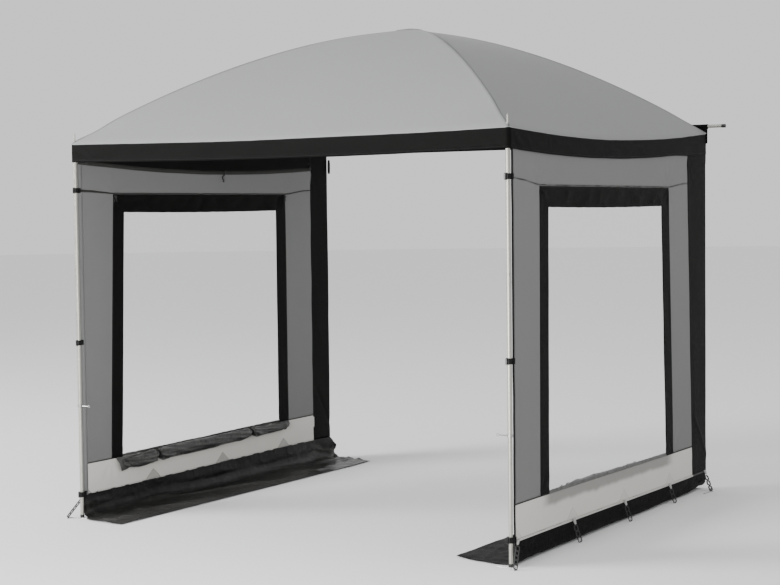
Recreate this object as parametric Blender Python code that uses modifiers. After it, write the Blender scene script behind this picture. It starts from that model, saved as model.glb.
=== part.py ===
"""Van awning: a domed roof on four arched poles, two side walls with windows, two telescopic legs.

Metres, +Z up. The open front is towards -Y and the van side towards +Y. The two side walls
are alike, one at -X and one at +X. The origin is at ground level under the middle.
"""

import math

import bmesh
import bpy
from mathutils import Matrix, Vector

# Plan and heights. The crown stands a little nearer to the van than to the front.
WIDTH = 2.62
DEPTH = 2.44
EAVE_FRONT = 2.00
EAVE_REAR = 2.05
APEX = 2.62
CROWN_SHIFT = 0.12
HIP_CURVE = 1.70
SIDE_SAG = 0.048
END_SAG = 0.015
CROWN_RISE = 0.014
CROWN_RADIUS = 0.090
Y_MIDDLE = 0.0095

# Cloth
ROOF_THICK = 0.004
SHEET_THICK = 0.003
GAP = 0.0003
VALANCE_DROP = 0.100
EAVE_SEAM = 0.0037
WALL_SETBACK = 0.0045
ROOF_RINGS = 12
ROOF_COLUMNS = 10
RING_SPREAD = 1.25

# Side walls: distances run back from the front edge, heights up from the ground
WALL_START = 0.042
WALL_TOP_SEAM = 0.0025
STRIP_START = 2.21
STRIP_SETBACK = 0.0045
BORDER_OUTER = (0.298, 1.930, 1.733)
BORDER_INNER = (0.390, 1.828, 1.635)
BORDER_FOOT = 0.020
BAND_TOP = 0.283
BAND_FOOT = 0.116
BLIND_RADIUS = 0.026
BLIND_HEIGHT = 0.256
BLIND_SPAN = (0.30, 1.92)

# Mud skirt on the ground: distances in from the wall's outer face and back from the front edge
SKIRT_REAR = 2.425
SKIRT_PLAN = ((0, 0.034), (0, SKIRT_REAR), (0.29, 2.395), (0.34, 2.335),
              (0.34, 0.055), (0.32, 0.028), (0.22, 0.010), (0.10, 0.016))

# Legs
LEG_INSET = 0.017
TUBE_RADIUS = 0.011
TUBE_BORE = 0.010
LOWER_RADIUS = 0.0095
LEG_TOP = 1.980
LEG_JOINT = 1.300
LEG_STEP = 0.595
LOWER_TOP = 0.945
PLUG_DEEP = 0.012
SPIKE_TIP = 2.058
SPIKE_RADIUS = 0.0042
SPIKE_POINT = 0.002
SPIKE_TAPER = 0.006
SPIKE_CHAMFER = 0.001
JOINT_RING_RADIUS = 0.0125
JOINT_RING_TALL = 0.006
FOOT_RADIUS = 0.0115
FOOT_HEIGHT = 0.016
FOOT_SOLE = 0.0035
FOOT_CHAMFER = 0.001
STRAP_HEIGHTS = (0.125, 0.94, 1.75)
STRAP_TALL = 0.025
STRAP_WALL = 0.0032
FOOT_STRAP_PLAY = 0.005
TAPE_START = 0.0305
TAPE_TOP_SEAM = 0.0035
LOCK_HEIGHT = 0.013
LOCK_WALL = 0.002
CATCH_REACH = 0.045
CATCH_RADIUS = 0.0025

# Arched poles, their hub and the corners that hold them
ARCH_RADIUS = 0.006
ARCH_DEPTH = 0.018
ARCH_END = 0.955
ARCH_LAST_STEP = 0.02
ARCH_HUB_GAP = 0.0018
COLLAR_RADIUS = 0.012
COLLAR_TALL = 0.016
SOCKET_RADIUS = 0.0085
SOCKET_FRONT = 0.064
SOCKET_REAR = 0.060
POCKET_SIDE = 0.036
POCKET_FOOT = EAVE_REAR - 0.065
POCKET_TOP = EAVE_REAR - 0.0045
HUB_RADIUS = 0.045
HUB_FOOT = APEX - 0.030
HUB_TOP = APEX + 0.0036
HUB_CHAMFER = 0.006

# Rear pole and its sleeve
REAR_POLE_RADIUS = 0.0095
REAR_POLE_HEIGHT = 2.088
REAR_POLE_SETBACK = 0.014
REAR_POLE_OVERHANG = 0.105
REAR_CAP = 0.022
REAR_CAP_WALL = 0.001
SLEEVE_RADIUS = 0.0135
SLEEVE_OVERHANG = 0.006
FLAP_FOOT = 1.990

# Pegging: where a ladder leaves the hem, where it ends, and how far out it lands
FRONT_LADDER = (0.060, -0.040, 0.034)
REAR_LADDER = (2.405, 2.350, 0.060)
MIDDLE_LADDERS = (0.645, 1.26, 1.87)
LADDER_DRIFT = 0.030
LADDER_LEAN = 0.022
LADDER_WIDTH = 0.013
LADDER_THICK = 0.002
LADDER_GROUND_GAP = 0.001
HEM_HEIGHT = 0.012
PEG_RADIUS = 0.0022
PEG_LENGTH = 0.110
PEG_HOOK = 0.022
PEG_TURN = math.radians(8)

# Working allowances: how far a cutter runs past what it cuts, and the weld distances
CUT_EXTRA = 0.01
COLUMN_MARGIN = 0.001
ROOF_WELD = 0.0001
CURVE_WELD = 0.00001

HALF_WIDTH = WIDTH / 2
HALF_DEPTH = DEPTH / 2
FRONT = Y_MIDDLE - HALF_DEPTH
REAR = Y_MIDDLE + HALF_DEPTH
WALL_OUTER = HALF_WIDTH - WALL_SETBACK
WALL_MIDDLE = WALL_OUTER - SHEET_THICK / 2
WALL_INNER = WALL_OUTER - SHEET_THICK
LEG_X = HALF_WIDTH - LEG_INSET
LEG_Y = FRONT + LEG_INSET
SIDES = (("left", -1), ("right", 1))
STAND_ALONG_X = (math.pi / 2, 0, 0)
STAND_ALONG_Y = (math.pi / 2, 0, math.pi / 2)

COLOURS = {
    "roof_cloth": ((0.42, 0.44, 0.46), 0.75, 0.0),
    "wall_cloth": ((0.30, 0.31, 0.32), 0.75, 0.0),
    "band_cloth": ((0.55, 0.56, 0.57), 0.7, 0.0),
    "black_cloth": ((0.02, 0.02, 0.022), 0.7, 0.0),
    "mud_skirt": ((0.018, 0.018, 0.02), 0.35, 0.0),
    "window_film": ((0.85, 0.88, 0.9), 0.08, 0.0),
    "blind_cloth": ((0.03, 0.03, 0.033), 0.5, 0.0),
    "steel_tube": ((0.62, 0.60, 0.56), 0.35, 0.9),
    "bright_steel": ((0.75, 0.75, 0.76), 0.25, 1.0),
    "pole_rod": ((0.35, 0.36, 0.37), 0.4, 0.2),
    "black_plastic": ((0.02, 0.02, 0.02), 0.45, 0.0),
    "grey_plastic": ((0.32, 0.33, 0.34), 0.5, 0.0),
    "webbing": ((0.015, 0.015, 0.016), 0.8, 0.0),
}


def clear_scene():
    for obj in list(bpy.data.objects):
        bpy.data.objects.remove(obj, do_unlink=True)


def new_collection(name):
    collection = bpy.data.collections.new(name)
    bpy.context.scene.collection.children.link(collection)
    return collection


def make_materials():
    made = {}
    for name, (colour, roughness, metallic) in COLOURS.items():
        material = bpy.data.materials.new(name)
        material.use_nodes = True
        shader = material.node_tree.nodes["Principled BSDF"]
        shader.inputs["Base Color"].default_value = (*colour, 1)
        shader.inputs["Roughness"].default_value = roughness
        shader.inputs["Metallic"].default_value = metallic
        material.diffuse_color = (*colour, 1)
        made[name] = material
    return made


def add_object(name, data, material):
    obj = bpy.data.objects.new(name, data)
    PARTS.objects.link(obj)
    data.materials.append(MATERIALS[material])
    return obj


def as_cutter(obj):
    PARTS.objects.unlink(obj)
    CUTTERS.objects.link(obj)
    obj.hide_render = True
    obj.display_type = "WIRE"
    return obj


def combine(obj, other, operation):
    modifier = obj.modifiers.new(f"{operation} {other.name}", "BOOLEAN")
    modifier.operation = operation
    modifier.object = as_cutter(other)


def mesh_object(name, shape, material, smooth=False):
    mesh = bpy.data.meshes.new(name)
    shape.to_mesh(mesh)
    shape.free()
    obj = add_object(name, mesh, material)
    if smooth:
        mesh.shade_smooth()
        mesh.set_sharp_from_angle(angle=math.radians(40))
    return obj


def box(name, low, high, material):
    """A box between two corners."""
    low = Vector(low)
    high = Vector(high)
    shape = bmesh.new()
    bmesh.ops.create_cube(shape, size=1)
    bmesh.ops.scale(shape, vec=high - low, verts=shape.verts)
    obj = mesh_object(name, shape, material)
    obj.location = (low + high) / 2
    return obj


def rod(name, start, end, radius, material, segments=12):
    """A solid round bar between two points."""
    start = Vector(start)
    along = Vector(end) - start
    shape = bmesh.new()
    bmesh.ops.create_cone(shape, cap_ends=True, segments=segments, radius1=radius,
                          radius2=radius, depth=along.length)
    obj = mesh_object(name, shape, material, smooth=True)
    obj.location = start + along / 2
    obj.rotation_euler = along.to_track_quat("Z", "Y").to_euler()
    return obj


def turned(name, profile, material, place, steps=20, ring=False):
    """A profile of (radius, height) points turned about the vertical through place."""
    mesh = bpy.data.meshes.new(name)
    edges = [(i, i + 1) for i in range(len(profile) - 1)]
    if ring:
        edges.append((len(profile) - 1, 0))
    mesh.from_pydata([(radius, 0, height) for radius, height in profile], edges, [])
    obj = add_object(name, mesh, material)
    obj.location = place
    screw = obj.modifiers.new("Turn", "SCREW")
    screw.steps = steps
    screw.render_steps = steps
    screw.use_merge_vertices = True
    screw.merge_threshold = ROOF_WELD
    screw.use_smooth_shade = True
    return obj


def flat_piece(name, outlines, thickness, material, turn, place):
    """A flat outline, with any holes as further outlines, extruded to its thickness."""
    curve = bpy.data.curves.new(name, "CURVE")
    curve.dimensions = "2D"
    curve.fill_mode = "BOTH"
    curve.extrude = thickness / 2
    for outline in outlines:
        spline = curve.splines.new("POLY")
        spline.points.add(len(outline) - 1)
        for point, (across, up) in zip(spline.points, outline):
            point.co = (across, up, 0, 1)
        spline.use_cyclic_u = True
    obj = add_object(name, curve, material)
    obj.rotation_euler = turn
    obj.location = place
    return obj


def curved_bar(name, points, radius, material):
    """A round bar along a chain of points."""
    curve = bpy.data.curves.new(name, "CURVE")
    curve.dimensions = "3D"
    curve.bevel_depth = radius
    curve.bevel_resolution = 2
    curve.use_fill_caps = True
    spline = curve.splines.new("POLY")
    spline.points.add(len(points) - 1)
    for point, place in zip(spline.points, points):
        point.co = (*place, 1)
    return add_object(name, curve, material)


def to_mesh(obj):
    """The same object as a closed mesh, so that it can take a Boolean."""
    bpy.context.view_layer.update()
    graph = bpy.context.evaluated_depsgraph_get()
    mesh = bpy.data.meshes.new_from_object(obj.evaluated_get(graph))
    shape = bmesh.new()
    shape.from_mesh(mesh)
    bmesh.ops.remove_doubles(shape, verts=shape.verts, dist=CURVE_WELD)
    bmesh.ops.recalc_face_normals(shape, faces=shape.faces)
    shape.to_mesh(mesh)
    shape.free()
    name = obj.name
    matrix = obj.matrix_world.copy()
    bpy.data.objects.remove(obj)
    made = bpy.data.objects.new(name, mesh)
    PARTS.objects.link(made)
    made.matrix_world = matrix
    return made


def rectangle(left, right, low, high):
    return [(left, low), (right, low), (right, high), (left, high)]


def hip_drop(back):
    """How far a corner hangs below the apex, from 0 at the front to 1 at the van side."""
    front = APEX - EAVE_FRONT
    rear = APEX - EAVE_REAR
    return front + (rear - front) * back


def roof_height(across, along):
    """Top of the roof cloth at a plan point given as fractions of the half width and depth."""
    out = max(abs(across), abs(along))
    radius = math.hypot(across * HALF_WIDTH, along * HALF_DEPTH)
    crown = CROWN_RISE * math.exp(-(radius / CROWN_RADIUS) ** 2)
    if out == 0:
        return APEX + crown
    if abs(across) >= abs(along):
        place = along / out
        sag = SIDE_SAG
        back = (place + 1) / 2
    else:
        place = across / out
        sag = END_SAG
        back = 0 if along < 0 else 1
    fall = hip_drop(back) * out ** HIP_CURVE
    return APEX + crown - fall - sag * out ** 2 * (1 - place ** 2)


def ring_at(index):
    return (index / ROOF_RINGS) ** RING_SPREAD


def roof_point(across, along):
    """A point on the roof, drawn towards the van with the crown by as much as it is off the eave."""
    out = max(abs(across), abs(along))
    y = Y_MIDDLE + along * HALF_DEPTH + CROWN_SHIFT * (1 - out)
    return Vector((across * HALF_WIDTH, y, roof_height(across, along)))


def side_eave(y):
    return roof_height(1, (y - Y_MIDDLE) / HALF_DEPTH)


def end_eave(x, along):
    return roof_height(x / HALF_WIDTH, along)


def columns_between(start, end, half, middle):
    """The start, the end and the roof's own columns between them, so that edges match."""
    spots = [middle + half * (2 * i / ROOF_COLUMNS - 1) for i in range(ROOF_COLUMNS + 1)]
    inside = [spot for spot in spots if start + COLUMN_MARGIN < spot < end - COLUMN_MARGIN]
    return [start] + inside + [end]


def make_roof():
    """Four cloth panels between the hips, sewn along them, each a grid drawn in to the apex."""
    shape = bmesh.new()
    for quarter in range(4):
        wedge = bmesh.ops.create_grid(shape, x_segments=ROOF_COLUMNS, y_segments=ROOF_RINGS,
                                      size=1)
        for vert in wedge["verts"]:
            out = ring_at(round((vert.co.y + 1) / 2 * ROOF_RINGS))
            place = vert.co.x * out
            across, along = ((-place, -out), (out, -place), (place, out), (-out, place))[quarter]
            vert.co = roof_point(across, along)
    bmesh.ops.remove_doubles(shape, verts=shape.verts, dist=ROOF_WELD)
    bmesh.ops.recalc_face_normals(shape, faces=shape.faces)
    if min(face.normal.z for face in shape.faces) < 0:
        bmesh.ops.reverse_faces(shape, faces=shape.faces)
    roof = mesh_object("roof_canopy", shape, "roof_cloth", smooth=True)
    solidify = roof.modifiers.new("Cloth", "SOLIDIFY")
    solidify.thickness = ROOF_THICK
    solidify.offset = -1
    punch_eyelets(roof)


def punch_eyelets(roof):
    """The two front corners are pierced for the leg spikes."""
    for side, sign in SIDES:
        hole = rod(f"eyelet_cut_{side}", (sign * LEG_X, LEG_Y, LEG_TOP),
                   (sign * LEG_X, LEG_Y, SPIKE_TIP), SPIKE_RADIUS + GAP, "black_cloth")
        combine(roof, hole, "DIFFERENCE")


def make_front_valance():
    reach = HALF_WIDTH - SHEET_THICK - GAP
    spots = columns_between(-reach, reach, HALF_WIDTH, 0)
    top = [(x, end_eave(x, -1) - EAVE_SEAM) for x in spots]
    foot = [(x, end_eave(x, -1) - VALANCE_DROP) for x in reversed(spots)]
    flat_piece("valance_front", [top + foot], SHEET_THICK, "black_cloth", STAND_ALONG_X,
               (0, FRONT + SHEET_THICK / 2, 0))


def make_side_valance(side, sign):
    spots = columns_between(FRONT, REAR, HALF_DEPTH, Y_MIDDLE)
    top = [(y, side_eave(y) - EAVE_SEAM) for y in spots]
    foot = [(y, side_eave(y) - VALANCE_DROP) for y in reversed(spots)]
    flat_piece(f"valance_{side}", [top + foot], SHEET_THICK, "black_cloth", STAND_ALONG_Y,
               (sign * (HALF_WIDTH - SHEET_THICK / 2), 0, 0))


def wall_sheet(name, outlines, material, sign):
    return flat_piece(name, outlines, SHEET_THICK, material, STAND_ALONG_Y,
                      (sign * WALL_MIDDLE, 0, 0))


def wall_top(start, end):
    spots = columns_between(start, end, HALF_DEPTH, Y_MIDDLE)
    return [(y, side_eave(y) - WALL_TOP_SEAM) for y in reversed(spots)]


def make_wall(side, sign):
    """The grey panel stands round the window like an arch, over the light band."""
    start = FRONT + WALL_START
    strip = FRONT + STRIP_START
    outer_start, outer_end, outer_top = BORDER_OUTER
    inner_start, inner_end, inner_top = BORDER_INNER
    outer_start, outer_end = FRONT + outer_start, FRONT + outer_end
    inner_start, inner_end = FRONT + inner_start, FRONT + inner_end
    foot = BAND_TOP + GAP
    opening = [(outer_start - GAP, foot), (outer_start - GAP, outer_top + GAP),
               (outer_end + GAP, outer_top + GAP), (outer_end + GAP, foot)]
    panel = opening + [(strip - GAP, foot)] + wall_top(start, strip - GAP) + [(start, foot)]
    wall_sheet(f"wall_panel_{side}", [panel], "wall_cloth", sign)
    border = rectangle(outer_start, outer_end, foot, outer_top)
    pane = (inner_start, inner_end, foot + BORDER_FOOT, inner_top)
    hole = rectangle(pane[0] - GAP, pane[1] + GAP, pane[2] - GAP, pane[3] + GAP)
    wall_sheet(f"window_border_{side}", [border, hole], "black_cloth", sign)
    wall_sheet(f"window_film_{side}", [rectangle(*pane)], "window_film", sign)
    band = rectangle(start, strip - GAP, BAND_FOOT, BAND_TOP)
    wall_sheet(f"light_band_{side}", [band], "band_cloth", sign)
    rear = REAR - STRIP_SETBACK
    seal = [(strip, BAND_FOOT), (rear, BAND_FOOT)] + wall_top(strip, rear)
    wall_sheet(f"seal_strip_{side}", [seal], "black_cloth", sign)


def make_skirt(side, sign):
    """The mud skirt hangs under the wall and turns inwards along the ground."""
    edge = [(sign * (WALL_OUTER - inward), FRONT + back) for inward, back in SKIRT_PLAN]
    ground = flat_piece(f"mud_skirt_{side}", [edge], SHEET_THICK, "mud_skirt", (0, 0, 0),
                        (0, 0, SHEET_THICK / 2))
    ground = to_mesh(ground)
    low, high = sorted((sign * WALL_INNER, sign * WALL_OUTER))
    upright = box(f"skirt_upright_{side}", (low, FRONT + WALL_START, SHEET_THICK / 2),
                  (high, FRONT + SKIRT_REAR, BAND_FOOT - GAP), "mud_skirt")
    combine(ground, upright, "UNION")


def make_blind(side, sign):
    centre = sign * (WALL_INNER - GAP - BLIND_RADIUS)
    start, end = BLIND_SPAN
    rod(f"rolled_blind_{side}", (centre, FRONT + start, BLIND_HEIGHT),
        (centre, FRONT + end, BLIND_HEIGHT), BLIND_RADIUS, "blind_cloth", segments=14)


def make_edge_tape(side, sign):
    """Binding down the wall's front edge, with three webbing loops round the leg."""
    low, high = sorted((sign * WALL_INNER, sign * WALL_OUTER))
    start = FRONT + TAPE_START
    end = FRONT + WALL_START - GAP
    top = side_eave(start) - TAPE_TOP_SEAM
    tape = box(f"edge_tape_{side}", (low, start, BAND_FOOT), (high, end, top), "webbing")
    for number, height in enumerate(STRAP_HEIGHTS):
        bore = FOOT_RADIUS + FOOT_STRAP_PLAY if number == 0 else TUBE_RADIUS + GAP
        reach = bore + STRAP_WALL
        foot = height - STRAP_TALL / 2
        head = height + STRAP_TALL / 2
        loop = box(f"strap_loop_{side}_{number}", (sign * LEG_X - reach, LEG_Y - reach, foot),
                   (sign * LEG_X + reach, LEG_Y + reach, head), "webbing")
        combine(tape, loop, "UNION")
        hole = rod(f"strap_bore_{side}_{number}", (sign * LEG_X, LEG_Y, foot - CUT_EXTRA),
                   (sign * LEG_X, LEG_Y, head + CUT_EXTRA), bore, "webbing", segments=20)
        combine(tape, hole, "DIFFERENCE")


def make_leg(side, sign):
    place = (sign * LEG_X, LEG_Y, 0)
    upper = [(0, SPIKE_TIP), (SPIKE_POINT, SPIKE_TIP - SPIKE_CHAMFER),
             (SPIKE_RADIUS, SPIKE_TIP - SPIKE_TAPER), (SPIKE_RADIUS, LEG_TOP),
             (TUBE_RADIUS, LEG_TOP), (TUBE_RADIUS, LEG_JOINT + GAP), (0, LEG_JOINT + GAP)]
    turned(f"leg_upper_{side}", upper, "steel_tube", place)
    ring_foot = LEG_JOINT - JOINT_RING_TALL
    plug_foot = LEG_JOINT - PLUG_DEEP
    middle = [(0, LEG_JOINT), (JOINT_RING_RADIUS, LEG_JOINT), (JOINT_RING_RADIUS, ring_foot),
              (TUBE_RADIUS, ring_foot), (TUBE_RADIUS, LEG_STEP), (TUBE_BORE, LEG_STEP),
              (TUBE_BORE, plug_foot), (0, plug_foot)]
    turned(f"leg_middle_{side}", middle, "steel_tube", place)
    lower = [(0, LOWER_TOP), (LOWER_RADIUS, LOWER_TOP), (LOWER_RADIUS, FOOT_SOLE + GAP),
             (0, FOOT_SOLE + GAP)]
    turned(f"leg_lower_{side}", lower, "steel_tube", place)
    bore = LOWER_RADIUS + GAP
    foot = [(0, FOOT_SOLE), (bore, FOOT_SOLE), (bore, FOOT_HEIGHT), (FOOT_RADIUS, FOOT_HEIGHT),
            (FOOT_RADIUS, FOOT_CHAMFER), (FOOT_RADIUS - FOOT_CHAMFER, 0), (0, 0)]
    turned(f"foot_cap_{side}", foot, "black_plastic", place)
    make_lock(side, sign)


def make_lock(side, sign):
    """A steel ring on the step of the leg, with the catch that holds the lower tube."""
    bore = TUBE_RADIUS + GAP
    outer = bore + LOCK_WALL
    low = LEG_STEP
    high = low + LOCK_HEIGHT
    ring = turned(f"leg_lock_{side}", [(outer, high), (outer, low), (bore, low), (bore, high)],
                  "bright_steel", (sign * LEG_X, LEG_Y, 0), ring=True)
    ring = to_mesh(ring)
    start = sign * (LEG_X - bore - LOCK_WALL / 2)
    middle = (low + high) / 2
    catch = rod(f"leg_catch_{side}", (start, LEG_Y, middle),
                (start - sign * CATCH_REACH, LEG_Y, middle), CATCH_RADIUS, "bright_steel",
                segments=8)
    combine(ring, catch, "UNION")


def arch_points(sign_x, sign_y):
    """The pole's centre line under a hip, from the hub to just short of the corner."""
    run = math.hypot(HALF_WIDTH, sign_y * HALF_DEPTH - CROWN_SHIFT)
    hub_edge = (HUB_RADIUS + ARCH_HUB_GAP) / run
    inner = [ring_at(i) for i in range(1, ROOF_RINGS) if ring_at(i) < ARCH_END - ARCH_LAST_STEP]
    points = []
    for out in [hub_edge] + inner + [ARCH_END]:
        points.append(roof_point(sign_x * out, sign_y * out) - Vector((0, 0, ARCH_DEPTH)))
    return points


def make_arches():
    for end, sign_y in (("front", -1), ("rear", 1)):
        for side, sign_x in SIDES:
            points = arch_points(sign_x, sign_y)
            curved_bar(f"arch_pole_{end}_{side}", points, ARCH_RADIUS, "pole_rod")
            make_corner_joint(end, side, sign_x, sign_y, points[-1], points[-2])


def make_corner_joint(end, side, sign_x, sign_y, tip, before):
    """A socket for the pole: on the leg's spike in front, in a cloth pocket at the van side."""
    along = (tip - before).normalized()
    start = tip + along * GAP
    if end == "front":
        stop = start + along * SOCKET_FRONT
        joint = turned(f"corner_joint_{end}_{side}",
                       [(COLLAR_RADIUS, LEG_TOP + COLLAR_TALL), (COLLAR_RADIUS, LEG_TOP + GAP),
                        (SPIKE_RADIUS + GAP, LEG_TOP + GAP),
                        (SPIKE_RADIUS + GAP, LEG_TOP + COLLAR_TALL)],
                       "black_plastic", (sign_x * LEG_X, LEG_Y, 0), ring=True)
        joint = to_mesh(joint)
    else:
        stop = start + along * SOCKET_REAR
        edge = WALL_INNER - GAP
        low_x, high_x = sorted((sign_x * (edge - POCKET_SIDE), sign_x * edge))
        joint = box(f"corner_joint_{end}_{side}", (low_x, REAR - POCKET_SIDE, POCKET_FOOT),
                    (high_x, REAR, POCKET_TOP), "webbing")
    socket = rod(f"socket_{end}_{side}", start, stop, SOCKET_RADIUS, "black_plastic")
    combine(joint, socket, "UNION")
    if end == "front":
        hole = rod(f"spike_cut_{side}", (sign_x * LEG_X, LEG_Y, LEG_TOP - CUT_EXTRA),
                   (sign_x * LEG_X, LEG_Y, SPIKE_TIP), SPIKE_RADIUS + GAP, "black_plastic",
                   segments=20)
        combine(joint, hole, "DIFFERENCE")


def make_hub():
    rim = HUB_RADIUS - HUB_CHAMFER
    turned("crown_hub", [(0, HUB_TOP), (rim, HUB_TOP), (HUB_RADIUS, HUB_TOP - HUB_CHAMFER),
                         (HUB_RADIUS, HUB_FOOT + HUB_CHAMFER), (rim, HUB_FOOT), (0, HUB_FOOT)],
           "black_plastic", (0, Y_MIDDLE + CROWN_SHIFT, 0), steps=24)


def make_rear_sleeve():
    """A strip of cloth behind the rear eave, sewn round the pole at its top."""
    pole_y = REAR + REAR_POLE_SETBACK
    half = HALF_WIDTH + SLEEVE_OVERHANG
    flap = box("rear_sleeve", (-half, REAR + GAP, FLAP_FOOT),
               (half, REAR + GAP + SHEET_THICK, REAR_POLE_HEIGHT), "black_cloth")
    tube = rod("sleeve_tube", (-half, pole_y, REAR_POLE_HEIGHT), (half, pole_y, REAR_POLE_HEIGHT),
               SLEEVE_RADIUS, "black_cloth", segments=20)
    combine(flap, tube, "UNION")
    hole = rod("sleeve_bore", (-half - CUT_EXTRA, pole_y, REAR_POLE_HEIGHT),
               (half + CUT_EXTRA, pole_y, REAR_POLE_HEIGHT), REAR_POLE_RADIUS + 2 * GAP,
               "black_cloth", segments=20)
    combine(flap, hole, "DIFFERENCE")


def make_rear_pole():
    pole_y = REAR + REAR_POLE_SETBACK
    half = HALF_WIDTH + SLEEVE_OVERHANG + REAR_POLE_OVERHANG - REAR_CAP
    rod("rear_pole", (-half, pole_y, REAR_POLE_HEIGHT), (half, pole_y, REAR_POLE_HEIGHT),
        REAR_POLE_RADIUS, "steel_tube", segments=20)
    for side, sign in SIDES:
        rod(f"rear_pole_cap_{side}", (sign * (half + GAP), pole_y, REAR_POLE_HEIGHT),
            (sign * (half + REAR_CAP), pole_y, REAR_POLE_HEIGHT),
            REAR_POLE_RADIUS + REAR_CAP_WALL, "black_plastic", segments=20)


def ladder_ends():
    """Start and end of each pegging ladder: distance back, and how far out it lands."""
    middle = [(place, place + LADDER_DRIFT, LADDER_LEAN) for place in MIDDLE_LADDERS]
    return [FRONT_LADDER] + middle + [REAR_LADDER]


def ladder_line(row, sign):
    """Where a ladder leaves the hem, where it ends, and its lowest corner, over peg or ground."""
    back, end_back, out = row
    seat = LADDER_GROUND_GAP if out == LADDER_LEAN else 2 * PEG_RADIUS + GAP
    start = Vector((sign * (WALL_OUTER + GAP + LADDER_THICK / 2), FRONT + back, BAND_FOOT))
    end = Vector((sign * (HALF_WIDTH + out), FRONT + end_back, seat))
    along, face, across = ladder_axes(start, end)
    corner = across * math.copysign(LADDER_WIDTH / 2, across.z)
    corner += face * math.copysign(LADDER_THICK / 2, face.z)
    end.z += corner.z
    return start, end, end - corner


def ladder_axes(start, end):
    along = (end - start).normalized()
    face = (Vector((1, 0, 0)) - along * along.x).normalized()
    return along, face, along.cross(face)


def ladder_strap(name, start, end):
    along, face, across = ladder_axes(start, end)
    half = Vector((LADDER_THICK / 2, LADDER_WIDTH / 2, (end - start).length / 2))
    strap = box(name, -half, half, "grey_plastic")
    turn = Matrix((face, across, along)).transposed().to_4x4()
    strap.matrix_world = Matrix.Translation((start + end) / 2) @ turn
    return strap


def make_ladders(side, sign):
    """Hem tape on the outside of the wall's foot, carrying the pegging ladders."""
    inside = WALL_OUTER + GAP
    low, high = sorted((sign * inside, sign * (inside + LADDER_THICK)))
    start = FRONT + FRONT_LADDER[0] - LADDER_WIDTH / 2
    end = FRONT + REAR_LADDER[0] + LADDER_WIDTH / 2
    hem = box(f"peg_ladders_{side}", (low, start, BAND_FOOT - HEM_HEIGHT / 2),
              (high, end, BAND_FOOT + HEM_HEIGHT / 2), "grey_plastic")
    for number, row in enumerate(ladder_ends()):
        top, foot, _ = ladder_line(row, sign)
        combine(hem, ladder_strap(f"ladder_{side}_{number}", top, foot), "UNION")


def make_peg(name, seat, heading, hand):
    """A bent steel peg lying on the ground, its hook through the end of a ladder."""
    along = Vector((math.cos(heading), math.sin(heading), 0))
    across = Vector((-along.y, along.x, 0)) * hand * PEG_HOOK
    middle = Vector((seat.x, seat.y, PEG_RADIUS))
    knee = middle + across / 2
    curved_bar(name, [middle - across / 2, knee, knee + along * PEG_LENGTH], PEG_RADIUS,
               "bright_steel")


def make_pegs(side, sign):
    inward = math.pi if sign > 0 else 0
    front = ladder_line(FRONT_LADDER, sign)[2]
    rear = ladder_line(REAR_LADDER, sign)[2]
    make_peg(f"peg_front_{side}", front, inward - sign * PEG_TURN, -sign)
    make_peg(f"peg_rear_{side}", rear, -math.pi / 2 - sign * PEG_TURN, sign)


clear_scene()
PARTS = new_collection("van_awning")
CUTTERS = new_collection("cutters")
MATERIALS = make_materials()
make_roof()
make_front_valance()
make_arches()
make_hub()
make_rear_sleeve()
make_rear_pole()
for SIDE, SIGN in SIDES:
    make_side_valance(SIDE, SIGN)
    make_wall(SIDE, SIGN)
    make_skirt(SIDE, SIGN)
    make_blind(SIDE, SIGN)
    make_edge_tape(SIDE, SIGN)
    make_leg(SIDE, SIGN)
    make_ladders(SIDE, SIGN)
    make_pegs(SIDE, SIGN)
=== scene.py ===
"""Van awning: its cloth, trim and finishes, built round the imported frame.

Metres, +Z up. The open front is towards -Y and the van side towards +Y, and the ground is z = 0.
A distance called back runs from the front edge towards the van.
"""

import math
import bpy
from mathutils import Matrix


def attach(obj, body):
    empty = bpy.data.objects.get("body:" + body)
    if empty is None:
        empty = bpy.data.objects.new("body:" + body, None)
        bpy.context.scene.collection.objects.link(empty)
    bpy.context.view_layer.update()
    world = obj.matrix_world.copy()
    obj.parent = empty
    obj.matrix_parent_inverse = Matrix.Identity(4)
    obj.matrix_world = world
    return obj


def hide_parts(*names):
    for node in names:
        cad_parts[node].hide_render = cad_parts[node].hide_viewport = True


bl_info = {
    "name": "Van Awning",
    "version": (1, 0, 0),
    "blender": (4, 5, 0),
    "location": "View3D > Sidebar > Awning",
    "description": "Builds the cloth, trim and finishes of a van awning round its frame",
    "category": "Add Mesh",
}

import bmesh
import bpy
from bpy.props import FloatProperty, FloatVectorProperty, IntProperty, PointerProperty
from mathutils import Matrix, Vector, noise

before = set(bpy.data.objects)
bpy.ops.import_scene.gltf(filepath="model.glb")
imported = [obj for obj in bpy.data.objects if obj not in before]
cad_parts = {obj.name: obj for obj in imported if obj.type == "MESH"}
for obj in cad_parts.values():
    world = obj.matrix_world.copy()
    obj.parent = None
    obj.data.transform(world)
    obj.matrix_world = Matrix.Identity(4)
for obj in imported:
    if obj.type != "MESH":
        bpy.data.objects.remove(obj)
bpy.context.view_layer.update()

# The roof: plan and heights, as in the part
HALF_WIDTH = 1.31
HALF_DEPTH = 1.22
Y_MIDDLE = 0.0095
FRONT = Y_MIDDLE - HALF_DEPTH
REAR = Y_MIDDLE + HALF_DEPTH
EAVE_FRONT = 2.00
EAVE_REAR = 2.05
APEX = 2.62
CROWN_SHIFT = 0.12
HIP_CURVE = 1.70
HIP_SCALE = 0.9
SIDE_SAG = 0.048
END_SAG = 0.015
CROWN_RISE = 0.014
CROWN_RADIUS = 0.090
CORNER_ROUND = 0.020
VALANCE_TALL = 0.097
VALANCE_HEM = 0.0852

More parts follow.
